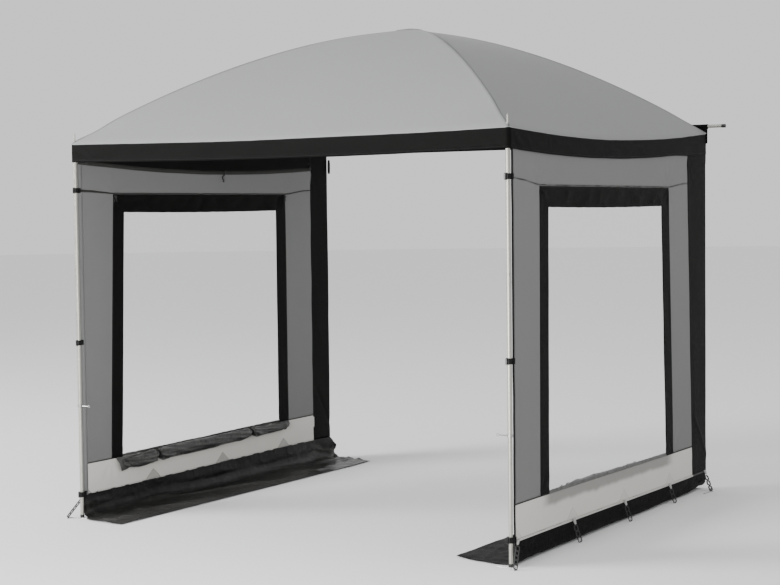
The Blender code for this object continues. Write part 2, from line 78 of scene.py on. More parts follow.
# The side walls: distances back from the front edge, and heights
WALL_MIDDLE = 1.304
WALL_OUTER = 1.3055
WALL_START = 0.042
WALL_REAR = 2.4355
STRIP_START = 2.21
BAND_TOP = 0.283
BAND_FOOT = 0.116
BORDER_OUTER = (0.298, 1.930, 1.733)
BORDER_INNER = (0.390, 1.828, 1.635)
BORDER_FOOT = 0.303
TOP_SEAM = 1.750
SEAM_LOWEST = 1.7375
LAP = 0.010
PULL_SPOT = (STRIP_START, 1.885)

# How far back the skirt's two ends lie, by how far in from the wall: (inward, front, rear)
SKIRT_PLAN = {
    "left": ((0, 0.042, 2.425), (0.030, 0.036, 2.425), (0.06, -0.004, 2.425), (0.10, -0.033, 2.422),
             (0.16, -0.046, 2.418), (0.25, -0.052, 2.411), (0.34, -0.050, 2.400)),
    "right": ((0, 0.042, 2.425), (0.10, 0.030, 2.420), (0.22, 0.050, 2.410), (0.34, 0.095, 2.385))}
SKIRT_WIDE = 0.34
SKIRT_LONG = 0.452
SKIRT_ENDS = (0.042, 2.425)
FAN_ENDS = (0.04, 2.43)
SKIRT_BEND = {"left": 0.062, "right": 0.034}
SKIRT_LIFT = {"left": 0.0125, "right": 0.0050}
SKIRT_SEED = {"left": 2.0, "right": 6.0}
# The skirts' inner faces: a lighter copy of the cloth on the left as painted light, a darker one on
# the right as painted shade.
SKIRT_FINISH = {"left": "skirt_cloth", "right": "skirt_shaded"}

# The legs and their straps
LEG_X = 1.293
LEG_Y = -1.1935
TUBE_RADIUS = 0.011
LOWER_RADIUS = 0.0095
LEG_JOINT = 1.300
FOOT_RADIUS = 0.0115
STRAP_HEIGHTS = (0.125, 0.94, 1.75)
STRAP_TALL = 0.026
FOOT_STRAP_PLAY = 0.005
LOCK_BORE = 0.0113
LOCK_WALL = 0.002
CATCH_REACH = 0.045
CATCH_END = LEG_X - LOCK_BORE - LOCK_WALL / 2 - CATCH_REACH
CATCH_HEIGHT = 0.6015
SPIKE_RADIUS = 0.0045

# The arched poles, the rear pole and its sleeve
ARCH_DEPTH = 0.018
POLE_Y = REAR + 0.014
POLE_Z = 2.088
SLEEVE_HALF = 1.316
FLAP_FOOT = 1.990
SLEEVE_RADIUS = 0.0116

# The rolled blinds: their ends, ties and height, and the wall's face behind them
BLIND_SPAN = (0.350, 1.925)
BLIND_TIES = (0.632, 1.527)
BLIND_HEIGHT = 0.256
BLIND_LIMIT = 1.2995
SWELL_FRAMES = 20
SWELL_MOST = 0.006

# Each ladder: back at the hem, back on the ground, how far out it ends, and its height there
LADDERS = ((0.060, -0.040, 0.034, 0.0047), (0.645, 0.675, 0.022, 0.001),
           (1.26, 1.29, 0.022, 0.001), (1.87, 1.90, 0.022, 0.001), (2.405, 2.350, 0.060, 0.0047))
PATCHES = (0.645, 1.26, 1.87)
SIDES = (("left", -1), ("right", 1))

# How the photographed walls hang off square: rises of the top seam at its two ends, the top
# strap's lift, shifts at the foot and at the top seam, and the rise of the foot at the van
SEAM_RISE = {"left": (0.014, 0.024), "right": (0.030, 0.020)}
STRAP_LIFT = {"left": 0.002, "right": 0.025}
FRONT_LEAN = {"left": (-0.035, 0.030), "right": (0.0, 0.012)}
REAR_LEAN = {"left": (0.030, 0.030), "right": (0.022, -0.048)}
FOOT_TILT = {"left": 0.022, "right": -0.013}

X_WAY = Vector((1, 0, 0))
Y_WAY = Vector((0, 1, 0))
Z_WAY = Vector((0, 0, 1))
FACES = (-1, 1)
TAPE_ROWS = (-1, 0, 1)

MATERIALS = {}
SEAMS = {}


# Small helpers

def ripple(x, y, z=0.0):
    """Smooth noise from about -1 to 1."""
    return noise.noise(Vector((x, y, z)))


def smooth(value, start, end):
    """0 before start, 1 after end, eased between them."""
    t = min(1.0, max(0.0, (value - start) / (end - start)))
    return t * t * (3 - 2 * t)


def bell(value, width):
    """1 at zero, falling away on both sides over about the width."""
    return math.exp(-(value / width) ** 2)


def fade(value, length):
    """1 at zero, falling away over about the length."""
    return math.exp(-value / length)


def steps(pitch, *stops):
    """Values from stop to stop, about one pitch apart, with every stop among them."""
    values = [stops[0]]
    for low, high in zip(stops, stops[1:]):
        count = max(1, round(abs(high - low) / pitch))
        values += [low + (high - low) * i / count for i in range(1, count + 1)]
    return values


def lerp(low, high, t):
    return low + (high - low) * t


def between(rows, value):
    """The numbers of a table of rows at a value of its first column."""
    for low, high in zip(rows, rows[1:]):
        if value <= high[0]:
            t = (value - low[0]) / (high[0] - low[0])
            return [lerp(a, b, t) for a, b in zip(low[1:], high[1:])]
    return list(rows[-1][1:])


# The shapes that the cloth follows

def hip_drop(share):
    return lerp(APEX - EAVE_FRONT, APEX - EAVE_REAR, share)


def roof_height(across, along):
    """Top of the roof at a plan point given as fractions of the half width and depth."""
    out = max(abs(across), abs(along))
    radius = math.hypot(across * HALF_WIDTH, along * HALF_DEPTH)
    crown = CROWN_RISE * bell(radius, CROWN_RADIUS)
    if out == 0:
        return APEX + crown
    if abs(across) >= abs(along):
        place, sag = along / out, SIDE_SAG
        share = (place + 1) / 2
    else:
        place, sag = across / out, END_SAG
        share = 0 if along < 0 else 1
    return APEX + crown - hip_drop(share) * out ** HIP_CURVE - sag * out ** 2 * (1 - place ** 2)


def round_corner(x, y):
    """Draws a plan point in where the roof's front corners are rounded off."""
    centre_x = math.copysign(HALF_WIDTH - CORNER_ROUND, x)
    centre_y = FRONT + CORNER_ROUND
    off_x, off_y = abs(x) - abs(centre_x), centre_y - y
    if off_x <= 0 or off_y <= 0:
        return x, y
    reach = max(off_x, off_y) / math.hypot(off_x, off_y)
    return centre_x + math.copysign(off_x * reach, x), centre_y - off_y * reach


def roof_point(across, along, lift=0.0):
    out = max(abs(across), abs(along))
    y = Y_MIDDLE + along * HALF_DEPTH + CROWN_SHIFT * (1 - out)
    x, y = round_corner(across * HALF_WIDTH, y)
    return Vector((x, y, roof_height(across, along) + lift))


def side_eave(y):
    return roof_height(1, min(1, max(-1, (y - Y_MIDDLE) / HALF_DEPTH)))


def seam_height(side, back):
    """The top seam rises at both ends, where the wall is tied."""
    front, rear = SEAM_RISE[side]
    return SEAM_LOWEST + front * (1 - smooth(back, 0.04, 0.34)) + rear * smooth(back, 1.92, 2.18)


def wall_bulge(side, back, z):
    """How far the wall cloth stands off its flat plane: soft waves and corner folds."""
    seed = 3.7 if side == "left" else 8.3
    out = 0.0024 * ripple(back * 1.1, z * 0.8, seed) + 0.0006 * ripple(back * 5, z * 4, seed)
    for corner_back in BORDER_OUTER[:2]:
        for corner_z in (BORDER_OUTER[2], BAND_TOP):
            away = math.hypot(back - corner_back, z - corner_z)
            if away < 0.4:
                turn = math.atan2(z - corner_z, back - corner_back)
                near = fade(away, 0.09) * (1 - bell(away, 0.02))
                out += 0.0022 * near * math.sin(9 * turn + corner_back * 5)
    gap = z - seam_height(side, back)
    out += 0.0014 * bell(gap, 0.013) * ripple(back * 34, gap * 30, seed)
    pull_back, pull_height = PULL_SPOT
    away = math.hypot(back - pull_back, z - pull_height)
    turn = math.atan2(pull_height - z, pull_back - back)
    out += 0.0034 * fade(away, 0.07) * math.sin(12 * turn) * (1 - fade(away, 0.01))
    limit = lerp(0.0030, 0.0010, smooth(z, 1.80, 1.88))
    return max(-0.0030, min(limit, out))


def hang(side, back, z, out=0.0):
    """A point of a side wall as it hangs, out from its middle plane."""
    sign = -1 if side == "left" else 1
    high = min(1.0, z / TOP_SEAM)
    front_zone = smooth(back, 0.05, 0.28) * (1 - smooth(back, 0.45, 1.1))
    rear_zone = smooth(back, 0.9, 1.8) * (1 - smooth(back, 2.25, 2.43))
    moved = back + front_zone * lerp(*FRONT_LEAN[side], high)
    moved += rear_zone * lerp(*REAR_LEAN[side], high)
    low = smooth(z, 0.0, 0.10) * (1 - smooth(z, 0.35, 1.2))
    height = z + FOOT_TILT[side] * low * smooth(back, 0.1, 2.3)
    bulge = wall_bulge(side, back, z)
    return Vector((sign * (WALL_MIDDLE + out + bulge), FRONT + moved, height))


# Meshes

def add_piece(name, mesh, finish, body="awning", slot=None, stands_for=()):
    """A finished piece: its material, the body that it rides on and the nodes that it replaces."""
    obj = bpy.data.objects.new(name, mesh)
    bpy.context.scene.collection.objects.link(obj)
    mesh.materials.clear()
    mesh.materials.append(MATERIALS[finish])
    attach(obj, body)
    if stands_for:
        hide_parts(*stands_for)
    return obj


def add_grid(shape, across, along, place, keep=None, flip=False, uv=None, marks=None):
    """Adds a grid of cloth: place gives each point, keep drops cells, UVs are in metres."""
    sewn = shape.loops.layers.uv.get("Cloth") or shape.loops.layers.uv.new("Cloth")
    marks = marks or {}
    floats = shape.verts.layers.float
    layers = {key: floats.get(key) or floats.new(key) for key in marks}
    uv = uv or (lambda a, b: (a, b))
    rows = []
    for b in along:
        row = [shape.verts.new(place(a, b)) for a in across]
        for key, layer in layers.items():
            for a, vert in zip(across, row):
                vert[layer] = marks[key](a, b)
        rows.append(row)
    for j in range(len(along) - 1):
        for i in range(len(across) - 1):
            if keep and not keep((across[i] + across[i + 1]) / 2, (along[j] + along[j + 1]) / 2):
                continue
            corners = [(i, j), (i + 1, j), (i + 1, j + 1), (i, j + 1)]
            if flip:
                corners.reverse()
            face = shape.faces.new([rows[q][p] for p, q in corners])
            face.smooth = True
            for loop, (p, q) in zip(face.loops, corners):
                loop[sewn].uv = uv(across[p], along[q])


def mesh_of(name, shape, weld=0.0):
    if weld:
        bmesh.ops.remove_doubles(shape, verts=shape.verts, dist=weld)
    loose = [vert for vert in shape.verts if not vert.link_faces]
    bmesh.ops.delete(shape, geom=loose, context="VERTS")
    mesh = bpy.data.meshes.new(name)
    shape.to_mesh(mesh)
    shape.free()
    return mesh


def cloth_piece(name, shape, finish, thick, weld=0.0, offset=0.0, **riding):
    obj = add_piece(name, mesh_of(name, shape, weld), finish, **riding)
    solid = obj.modifiers.new("Cloth thickness", "SOLIDIFY")
    solid.thickness = thick
    solid.offset = offset
    return obj


def add_ribbon(shape, line, rows=2, flip=False):
    """A flat ribbon along (centre, half width) pairs."""
    spots = [0.0]
    for (a, _), (b, _) in zip(line, line[1:]):
        spots.append(spots[-1] + (b - a).length)
    wide = line[0][1].length
    across = [lerp(-1, 1, i / (rows - 1)) for i in range(rows)]
    lookup = dict(zip(spots, line))

    def place(side, spot):
        centre, half = lookup[spot]
        return centre + half * side

    add_grid(shape, across, spots, place, flip=flip, uv=lambda a, b: (a * wide, b))


def skin(shape, rings, closed):
    """Faces from ring to ring, shut at both ends or joined into a loop."""
    pairs = list(zip(rings, rings[1:])) + ([(rings[-1], rings[0])] if closed else [])
    for one, two in pairs:
        for k, corner in enumerate(one):
            n = (k + 1) % len(one)
            shape.faces.new((corner, one[n], two[n], two[k])).smooth = True
    if not closed:
        shape.faces.new(rings[0][::-1])
        shape.faces.new(rings[-1])


def add_wire(shape, points, radius, normal, sides=8, closed=False, taper=None):
    """A round wire along a chain of points."""
    count = len(points)
    rings = []
    for i, point in enumerate(points):
        before = points[i - 1] if closed or i else point
        after = points[(i + 1) % count] if closed or i < count - 1 else point
        along = (after - before).normalized()
        side = (normal - along * along.dot(normal)).normalized()
        up = along.cross(side)
        size = radius * (taper(i / (count - 1)) if taper else 1)
        ring = []
        for k in range(sides):
            turn = 2 * math.pi * k / sides
            offset = side * math.cos(turn) + up * math.sin(turn)
            ring.append(shape.verts.new(point + offset * size))
        rings.append(ring)
    skin(shape, rings, closed)


def add_turned(shape, profile, centre, sides=24, axis=Z_WAY, closed=False):
    """A profile of (radius, height) turned about an axis through centre."""
    turn = axis.to_track_quat("Z", "Y")
    rings = []
    for radius, height in profile:
        spots = [Vector((radius * math.cos(2 * math.pi * k / sides),
                         radius * math.sin(2 * math.pi * k / sides), height))
                 for k in range(sides)]
        rings.append([shape.verts.new(centre + turn @ spot) for spot in spots])
    skin(shape, rings, closed)


def add_knot(shape, spot, radius, half_height):
    """A small round knot."""
    profile = [(radius * math.cos(t) + 0.0002, half_height * math.sin(t))
               for t in steps(math.pi / 8, -math.pi / 2, math.pi / 2)]
    add_turned(shape, profile, spot, sides=12)


def once_round(pitch):
    """Angles round a circle, without the last one, which is the first again."""
    return steps(pitch, 0.0, 2 * math.pi)[:-1]


def lay_uv(shape):
    """A UV map in metres for cloth that isn't a grid."""
    sewn = shape.loops.layers.uv.new("Cloth")
    for face in shape.faces:
        for loop in face.loops:
            loop[sewn].uv = (loop.vert.co.x + loop.vert.co.y, loop.vert.co.z)


def tidy_normals(shape):
    bmesh.ops.recalc_face_normals(shape, faces=shape.faces)
    return shape


def add_solid(name, shape, finish, **riding):
    """A closed piece with its faces turned outwards."""
    add_piece(name, mesh_of(name, tidy_normals(shape)), finish, **riding)


def seam(name, points):
    """Notes a line that stitches will follow."""
    SEAMS.setdefault(name, []).append([Vector(point) for point in points])


def stitch_wall(side, out, *paths, middle=0.0):
    """Notes seams on both faces of a wall, along paths of (back, height)."""
    for face in FACES:
        for path in paths:
            seam(f"wall_{side}", [hang(side, back, z, middle + face * out) for back, z in path])


# Node trees

def add_node(tree, kind, inputs=None, **settings):
    """A node with its settings, and its inputs as values or as sockets to link."""
    node = tree.nodes.new(kind)
    for name, value in settings.items():
        setattr(node, name, value)
    for name, value in (inputs or {}).items():
        if isinstance(value, bpy.types.NodeSocket):
            tree.links.new(value, node.inputs[name])
        else:
            node.inputs[name].default_value = value
    return node


def maths(tree, operation, *values):
    node = add_node(tree, "ShaderNodeMath", dict(enumerate(values)), operation=operation)
    return node.outputs[0]


def noise_value(tree, vector, scale, detail=2.0, output=0):
    inputs = {"Vector": vector, "Scale": scale, "Detail": detail}
    return add_node(tree, "ShaderNodeTexNoise", inputs).outputs[output]


def toned(tree, colour, value):
    """A colour made lighter or darker by a value."""
    return add_node(tree, "ShaderNodeHueSaturation", {"Value": value, "Color": colour}).outputs[0]


def uneven(tree, base, value, amount):
    """A base swung by noise about its middle."""
    swing = maths(tree, "MULTIPLY", maths(tree, "SUBTRACT", value, 0.5), amount)
    return maths(tree, "ADD", base, swing)


def new_group(name, kind, ins, outs):
    """A node group with its named sockets, and its two end nodes."""
    tree = bpy.data.node_groups.new(name, kind)
    for label, socket, default in ins:
        item = tree.interface.new_socket(label, in_out="INPUT", socket_type=f"NodeSocket{socket}")
        if default is not None:
            item.default_value = default
    for label, socket in outs:
        tree.interface.new_socket(label, in_out="OUTPUT", socket_type=f"NodeSocket{socket}")
    return tree, tree.nodes.new("NodeGroupInput").outputs, tree.nodes.new("NodeGroupOutput")


def link_out(tree, end, **outputs):
    for label, socket in outputs.items():
        tree.links.new(socket, end.inputs[label.replace("_", " ")])


def make_weave_group():
    """Over-and-under threads of a plain weave, as a height."""
    tree, start, end = new_group(
        "Woven threads", "ShaderNodeTree",
        (("Vector", "Vector", None), ("Threads", "Float", 900.0)), (("Height", "Float"),))
    scaled = add_node(tree, "ShaderNodeVectorMath",
                      {0: start["Vector"], "Scale": start["Threads"]}, operation="SCALE")
    split = add_node(tree, "ShaderNodeSeparateXYZ", {0: scaled.outputs[0]})
    warp = maths(tree, "SINE", maths(tree, "MULTIPLY", split.outputs["X"], math.pi))
    weft = maths(tree, "SINE", maths(tree, "MULTIPLY", split.outputs["Y"], math.pi))
    over = maths(tree, "GREATER_THAN", maths(tree, "MULTIPLY", warp, weft), 0.0)
    mix = add_node(tree, "ShaderNodeMix",
                   {0: over, 2: maths(tree, "ABSOLUTE", warp), 3: maths(tree, "ABSOLUTE", weft)})
    link_out(tree, end, Height=mix.outputs[0])


FINISH_INS = (("Vector", "Vector", None), ("Colour", "Color", None))
FINISH_OUTS = (("Colour", "Color"), ("Roughness", "Float"))


def make_mottle_and_shade_group():
    """Uneven dye, handling marks, darker seams and the painted shade and highlights of the Shade
    input, as a colour and a roughness.
    """
    tree, start, end = new_group(
        "Cloth mottle", "ShaderNodeTree",
        FINISH_INS + (("Roughness", "Float", 0.7), ("Mottle", "Float", 0.1),
                      ("Seam", "Float", 0.0), ("Shade", "Float", 0.0)),
        FINISH_OUTS + (("Crumple", "Float"),))
    fine = noise_value(tree, start["Vector"], 42.0, 5.0)
    total = noise_value(tree, start["Vector"], 1.6, 4.0)
    for part in (fine, noise_value(tree, start["Vector"], 420.0)):
        total = maths(tree, "ADD", total, maths(tree, "MULTIPLY", part, 0.5))
    swing = maths(tree, "MULTIPLY", maths(tree, "SUBTRACT", total, 1.0), start["Mottle"])
    # Shade darkens the colour as painted shade, and lightens it as a painted highlight where it is
    # below zero.
    darker = maths(tree, "ADD", maths(tree, "MULTIPLY", start["Seam"], 0.55), start["Shade"])
    value = maths(tree, "SUBTRACT", maths(tree, "ADD", swing, 1.0), darker)
    link_out(tree, end, Colour=toned(tree, start["Colour"], value), Crumple=fine,
             Roughness=uneven(tree, start["Roughness"], fine, 0.22))


def make_crumple_group():
    """Sharp facets of crumpled coated nylon, as a height."""
    tree, start, end = new_group("Crumpled nylon", "ShaderNodeTree",
                                 (("Vector", "Vector", None), ("Facets", "Float", 12.0)),
                                 (("Height", "Float"),))
    bent = noise_value(tree, start["Vector"], 7.0, output=1)
    moved = add_node(tree, "ShaderNodeVectorMath", {0: bent, "Scale": 0.16}, operation="SCALE")
    spot = add_node(tree, "ShaderNodeVectorMath", {0: start["Vector"], 1: moved.outputs[0]})
    total = None
    for share, depth in ((1.0, 1.0), (2.6, 0.36)):
        size = maths(tree, "MULTIPLY", start["Facets"], share)
        cells = add_node(tree, "ShaderNodeTexVoronoi", {"Vector": spot.outputs[0], "Scale": size})
        level = maths(tree, "MULTIPLY", cells.outputs["Distance"], depth)
        total = maths(tree, "ADD", total, level) if total else level
    link_out(tree, end, Height=total)


def make_drawn_group():
    """Draw lines and dulling along a tube."""
    tree, start, end = new_group(
        "Drawn metal", "ShaderNodeTree",
        FINISH_INS + (("Roughness", "Float", 0.3), ("Stretch", "Vector", (700.0, 700.0, 9.0))),
        FINISH_OUTS + (("Height", "Float"),))
    mapped = add_node(tree, "ShaderNodeMapping",
                      {"Vector": start["Vector"], "Scale": start["Stretch"]}).outputs[0]
    lines = noise_value(tree, mapped, 1.0, 3.0)
    dull = noise_value(tree, start["Vector"], 26.0, 6.0)
    value = maths(tree, "ADD", maths(tree, "MULTIPLY", lines, 0.16),
                  maths(tree, "MULTIPLY", dull, 0.22))
    link_out(tree, end, Colour=toned(tree, start["Colour"], maths(tree, "ADD", value, 0.81)),
             Roughness=uneven(tree, start["Roughness"], dull, 0.3), Height=lines)


def make_moulded_group():
    """The fine spark-eroded grain of moulded plastic, with rubbed spots."""
    tree, start, end = new_group("Moulded grain", "ShaderNodeTree",
                                 FINISH_INS + (("Roughness", "Float", 0.5),),
                                 FINISH_OUTS + (("Height", "Float"),))
    rub = noise_value(tree, start["Vector"], 70.0, 5.0)
    value = maths(tree, "ADD", maths(tree, "MULTIPLY", rub, 0.4), 0.8)
    link_out(tree, end, Colour=toned(tree, start["Colour"], value),
             Roughness=uneven(tree, start["Roughness"], rub, 0.4),
             Height=noise_value(tree, start["Vector"], 1400.0))


def new_material(name, **constants):
    """A material and its shader, with constants set on the shader's own sockets."""
    material = bpy.data.materials.new(name)
    material.use_nodes = True
    tree = material.node_tree
    shader = tree.nodes["Principled BSDF"]
    for label, value in constants.items():
        shader.inputs[label.replace("_", " ")].default_value = value
    MATERIALS[name] = material
    return tree, shader


def use_group(tree, name, inputs):
    return add_node(tree, "ShaderNodeGroup", inputs, node_tree=bpy.data.node_groups[name])


def finish_shader(tree, shader, colour, roughness, height, relief):
    bump = add_node(tree, "ShaderNodeBump",
                    {"Height": maths(tree, "MULTIPLY", height, relief), "Distance": 1.0})
    tree.links.new(colour, shader.inputs["Base Color"])
    tree.links.new(roughness, shader.inputs["Roughness"])
    tree.links.new(bump.outputs[0], shader.inputs["Normal"])


def cloth_material(name, colour, roughness, threads, relief, mottle, crumple=0.0004, facets=0,
                   **constants):
    """A woven cloth that reads the piece's own UV map, in metres."""
    tree, shader = new_material(name, **constants)
    sewn = add_node(tree, "ShaderNodeUVMap", uv_map="Cloth").outputs["UV"]
    # The shade attribute paints shade and highlights into some pieces' colour; seam marks dark seam
    # lines, and on the roof also painted crease shade.
    marks = {key: add_node(tree, "ShaderNodeAttribute", attribute_name=key).outputs["Fac"]
             for key in ("seam", "shade")}
    weave = use_group(tree, "Woven threads", {"Vector": sewn, "Threads": threads})
    dye_and_shade = use_group(tree, "Cloth mottle", {
        "Vector": sewn, "Colour": (*colour, 1), "Roughness": roughness, "Mottle": mottle,
        "Seam": marks["seam"], "Shade": marks["shade"]})
    height = maths(tree, "ADD", maths(tree, "MULTIPLY", weave.outputs[0], relief),
                   maths(tree, "MULTIPLY", dye_and_shade.outputs["Crumple"], crumple))
    if facets:
        folded = use_group(tree, "Crumpled nylon", {"Vector": sewn, "Facets": facets}).outputs[0]
        height = maths(tree, "ADD", height, maths(tree, "MULTIPLY", folded, 0.03 / facets))
    finish_shader(tree, shader, dye_and_shade.outputs["Colour"], dye_and_shade.outputs["Roughness"], height, 1.0)


def hard_material(name, group, colour, roughness, relief, extra=None, **constants):
    """A metal or plastic that reads Object coordinates."""
    tree, shader = new_material(name, **constants)
    spot = add_node(tree, "ShaderNodeTexCoord").outputs["Object"]
    made = use_group(tree, group, {"Vector": spot, "Colour": (*colour, 1),
                                   "Roughness": roughness, **(extra or {})})
    finish_shader(tree, shader, made.outputs["Colour"], made.outputs["Roughness"],
                  made.outputs["Height"], relief)


def film_material(alpha):
    """Clear soft film, slightly smeared and rippled."""
    tree, shader = new_material("window_film", IOR=1.5, Specular_IOR_Level=0.6)
    sewn = add_node(tree, "ShaderNodeUVMap", uv_map="Cloth").outputs["UV"]
    dye_and_shade = use_group(tree, "Cloth mottle", {
        "Vector": sewn, "Colour": (0.86, 0.88, 0.89, 1), "Roughness": 0.12, "Mottle": 0.05})
    smear = maths(tree, "ADD", maths(tree, "MULTIPLY", dye_and_shade.outputs["Crumple"], 0.04), alpha)
    tree.links.new(smear, shader.inputs["Alpha"])
    finish_shader(tree, shader, dye_and_shade.outputs["Colour"], dye_and_shade.outputs["Roughness"],
                  noise_value(tree, sewn, 5.0), 0.004)


def make_materials():
    """Every finish of the awning, under the name of its slot in the record where it has one."""
    for make_group in (make_weave_group, make_mottle_and_shade_group, make_crumple_group, make_drawn_group,
                       make_moulded_group):
        make_group()
    make_cloths(bpy.context.scene.awning_cloth)
    make_hard_finishes()


def make_cloths(cloth):
    """The cloths, webbings and window film."""
    threads = cloth.threads
    grey = {"Sheen_Weight": 0.12, "Sheen_Roughness": 0.5, "Specular_IOR_Level": 0.35}
    dark = {"Specular_IOR_Level": 0.05}
    cloth_material("roof_cloth", cloth.roof_colour, 0.72, threads, 0.00012, 0.07, **grey)
    # The crown patch is a lighter copy of the roof cloth: a painted highlight where the crown
    # catches the light.
    crown = [share * 1.18 for share in cloth.roof_colour]
    cloth_material("crown_cloth", crown, 0.66, threads, 0.00012, 0.07, **grey)
    cloth_material("wall_cloth", cloth.wall_colour, 0.74, threads, 0.00014, 0.08, **grey)
    cloth_material("band_cloth", cloth.band_colour, 0.70, threads, 0.00012, 0.06, **grey)
    patch = [share * 0.92 for share in cloth.band_colour]
    cloth_material("patch_cloth", patch, 0.62, threads * 0.7, 0.00016, 0.10, **grey)
    cloth_material("black_cloth", cloth.black_colour, 0.55, threads, 0.00014, 0.16, **dark)
    # Two copies of one skirt cloth for the skirts' inner faces: the left one lighter and glossier as
    # painted light, the right one darker and duller as painted shade, where it lies in the wall's
    # shade.
    cloth_material("skirt_cloth", (0.0215, 0.0215, 0.0205), 0.31, threads * 0.6, 0.00006, 0.15,
                   crumple=0.0001, facets=7.0, Specular_IOR_Level=0.17)
    cloth_material("skirt_shaded", cloth.black_colour, 0.50, threads * 0.6, 0.00008, 0.12,
                   crumple=0.0001, Specular_IOR_Level=0.05)
    cloth_material("blind_cloth", (0.062, 0.063, 0.060), 0.30, threads * 0.6, 0.00006, 0.16,
                   crumple=0.0001, facets=8.0, Specular_IOR_Level=0.36)
    cloth_material("webbing", (0.012, 0.012, 0.012), 0.62, 420.0, 0.0004, 0.20, **dark)
    cloth_material("zip_cloth", (0.040, 0.040, 0.037), 0.60, 700.0, 0.0002, 0.20, **dark)
    cloth_material("grey_web", (0.40, 0.40, 0.39), 0.60, 420.0, 0.0003, 0.12, **grey)
    film_material(cloth.film_alpha)


def make_hard_finishes():
    """The metals, plastics, rubber and threads."""
    tube = {"Metallic": 0.75, "Specular_IOR_Level": 0.5}
    hard_material("steel_tube", "Drawn metal", (0.40, 0.395, 0.355), 0.36, 0.00003, **tube)
    hard_material("bright_steel", "Drawn metal", (0.36, 0.36, 0.35), 0.28, 0.00003,
                  {"Stretch": (300.0, 300.0, 300.0)}, Metallic=1.0)
    hard_material("pole_rod", "Drawn metal", (0.22, 0.22, 0.22), 0.38, 0.00002,
                  {"Stretch": (60.0, 60.0, 60.0)}, Metallic=0.2)
    hard_material("black_plastic", "Moulded grain", (0.014, 0.014, 0.014), 0.42, 0.00005)
    hard_material("grey_plastic", "Moulded grain", (0.032, 0.034, 0.033), 0.45, 0.00004,
                  Specular_IOR_Level=0.3)
    hard_material("rubber", "Moulded grain", (0.30, 0.30, 0.29), 0.6, 0.00008)
    hard_material("thread_dark", "Moulded grain", (0.018, 0.018, 0.018), 0.6, 0.00002)
    hard_material("thread_grey", "Moulded grain", (0.24, 0.24, 0.24), 0.6, 0.00002)


STITCH_TREE = "Seam stitches"
LINK_TREE = "Links along a line"


def make_stitch_tree():
    """Stitches of thread laid end to end along lines."""
    tree, start, end = new_group(
        STITCH_TREE, "GeometryNodeTree",
        (("Geometry", "Geometry", None), ("Spacing", "Float", 0.007),
         ("Stitch length", "Float", 0.0046), ("Thread radius", "Float", 0.0004),
         ("Unevenness", "Float", 0.12), ("Seed", "Int", 7), ("Thread", "Material", None)),
        (("Geometry", "Geometry"),))
    curve = add_node(tree, "GeometryNodeMeshToCurve", {0: start["Geometry"]})
    spread = add_node(tree, "GeometryNodeResampleCurve",
                      {"Curve": curve.outputs[0], "Length": start["Spacing"]}, mode="LENGTH")
    thread = add_node(tree, "GeometryNodeMeshCylinder",
                      {"Vertices": 4, "Radius": start["Thread radius"],
                       "Depth": start["Stitch length"]})
    tangent = add_node(tree, "GeometryNodeInputTangent").outputs[0]
    turn = add_node(tree, "FunctionNodeAlignRotationToVector", {"Vector": tangent}, axis="Z")
    low = maths(tree, "SUBTRACT", 1.0, start["Unevenness"])
    size = add_node(tree, "FunctionNodeRandomValue", {2: low, 3: 1.0, "Seed": start["Seed"]})
    laid = add_node(tree, "GeometryNodeInstanceOnPoints",
                    {"Points": spread.outputs[0], "Instance": thread.outputs[0],
                     "Rotation": turn.outputs[0], "Scale": size.outputs[1]})
    end_tree(tree, laid.outputs[0], start["Thread"], end)


def end_tree(tree, geometry, material, end):
    """Every tree ends by making its instances real and giving them their material."""
    real = add_node(tree, "GeometryNodeRealizeInstances", {0: geometry})
    done = add_node(tree, "GeometryNodeSetMaterial",
                    {"Geometry": real.outputs[0], "Material": material})
    tree.links.new(done.outputs[0], end.inputs[0])


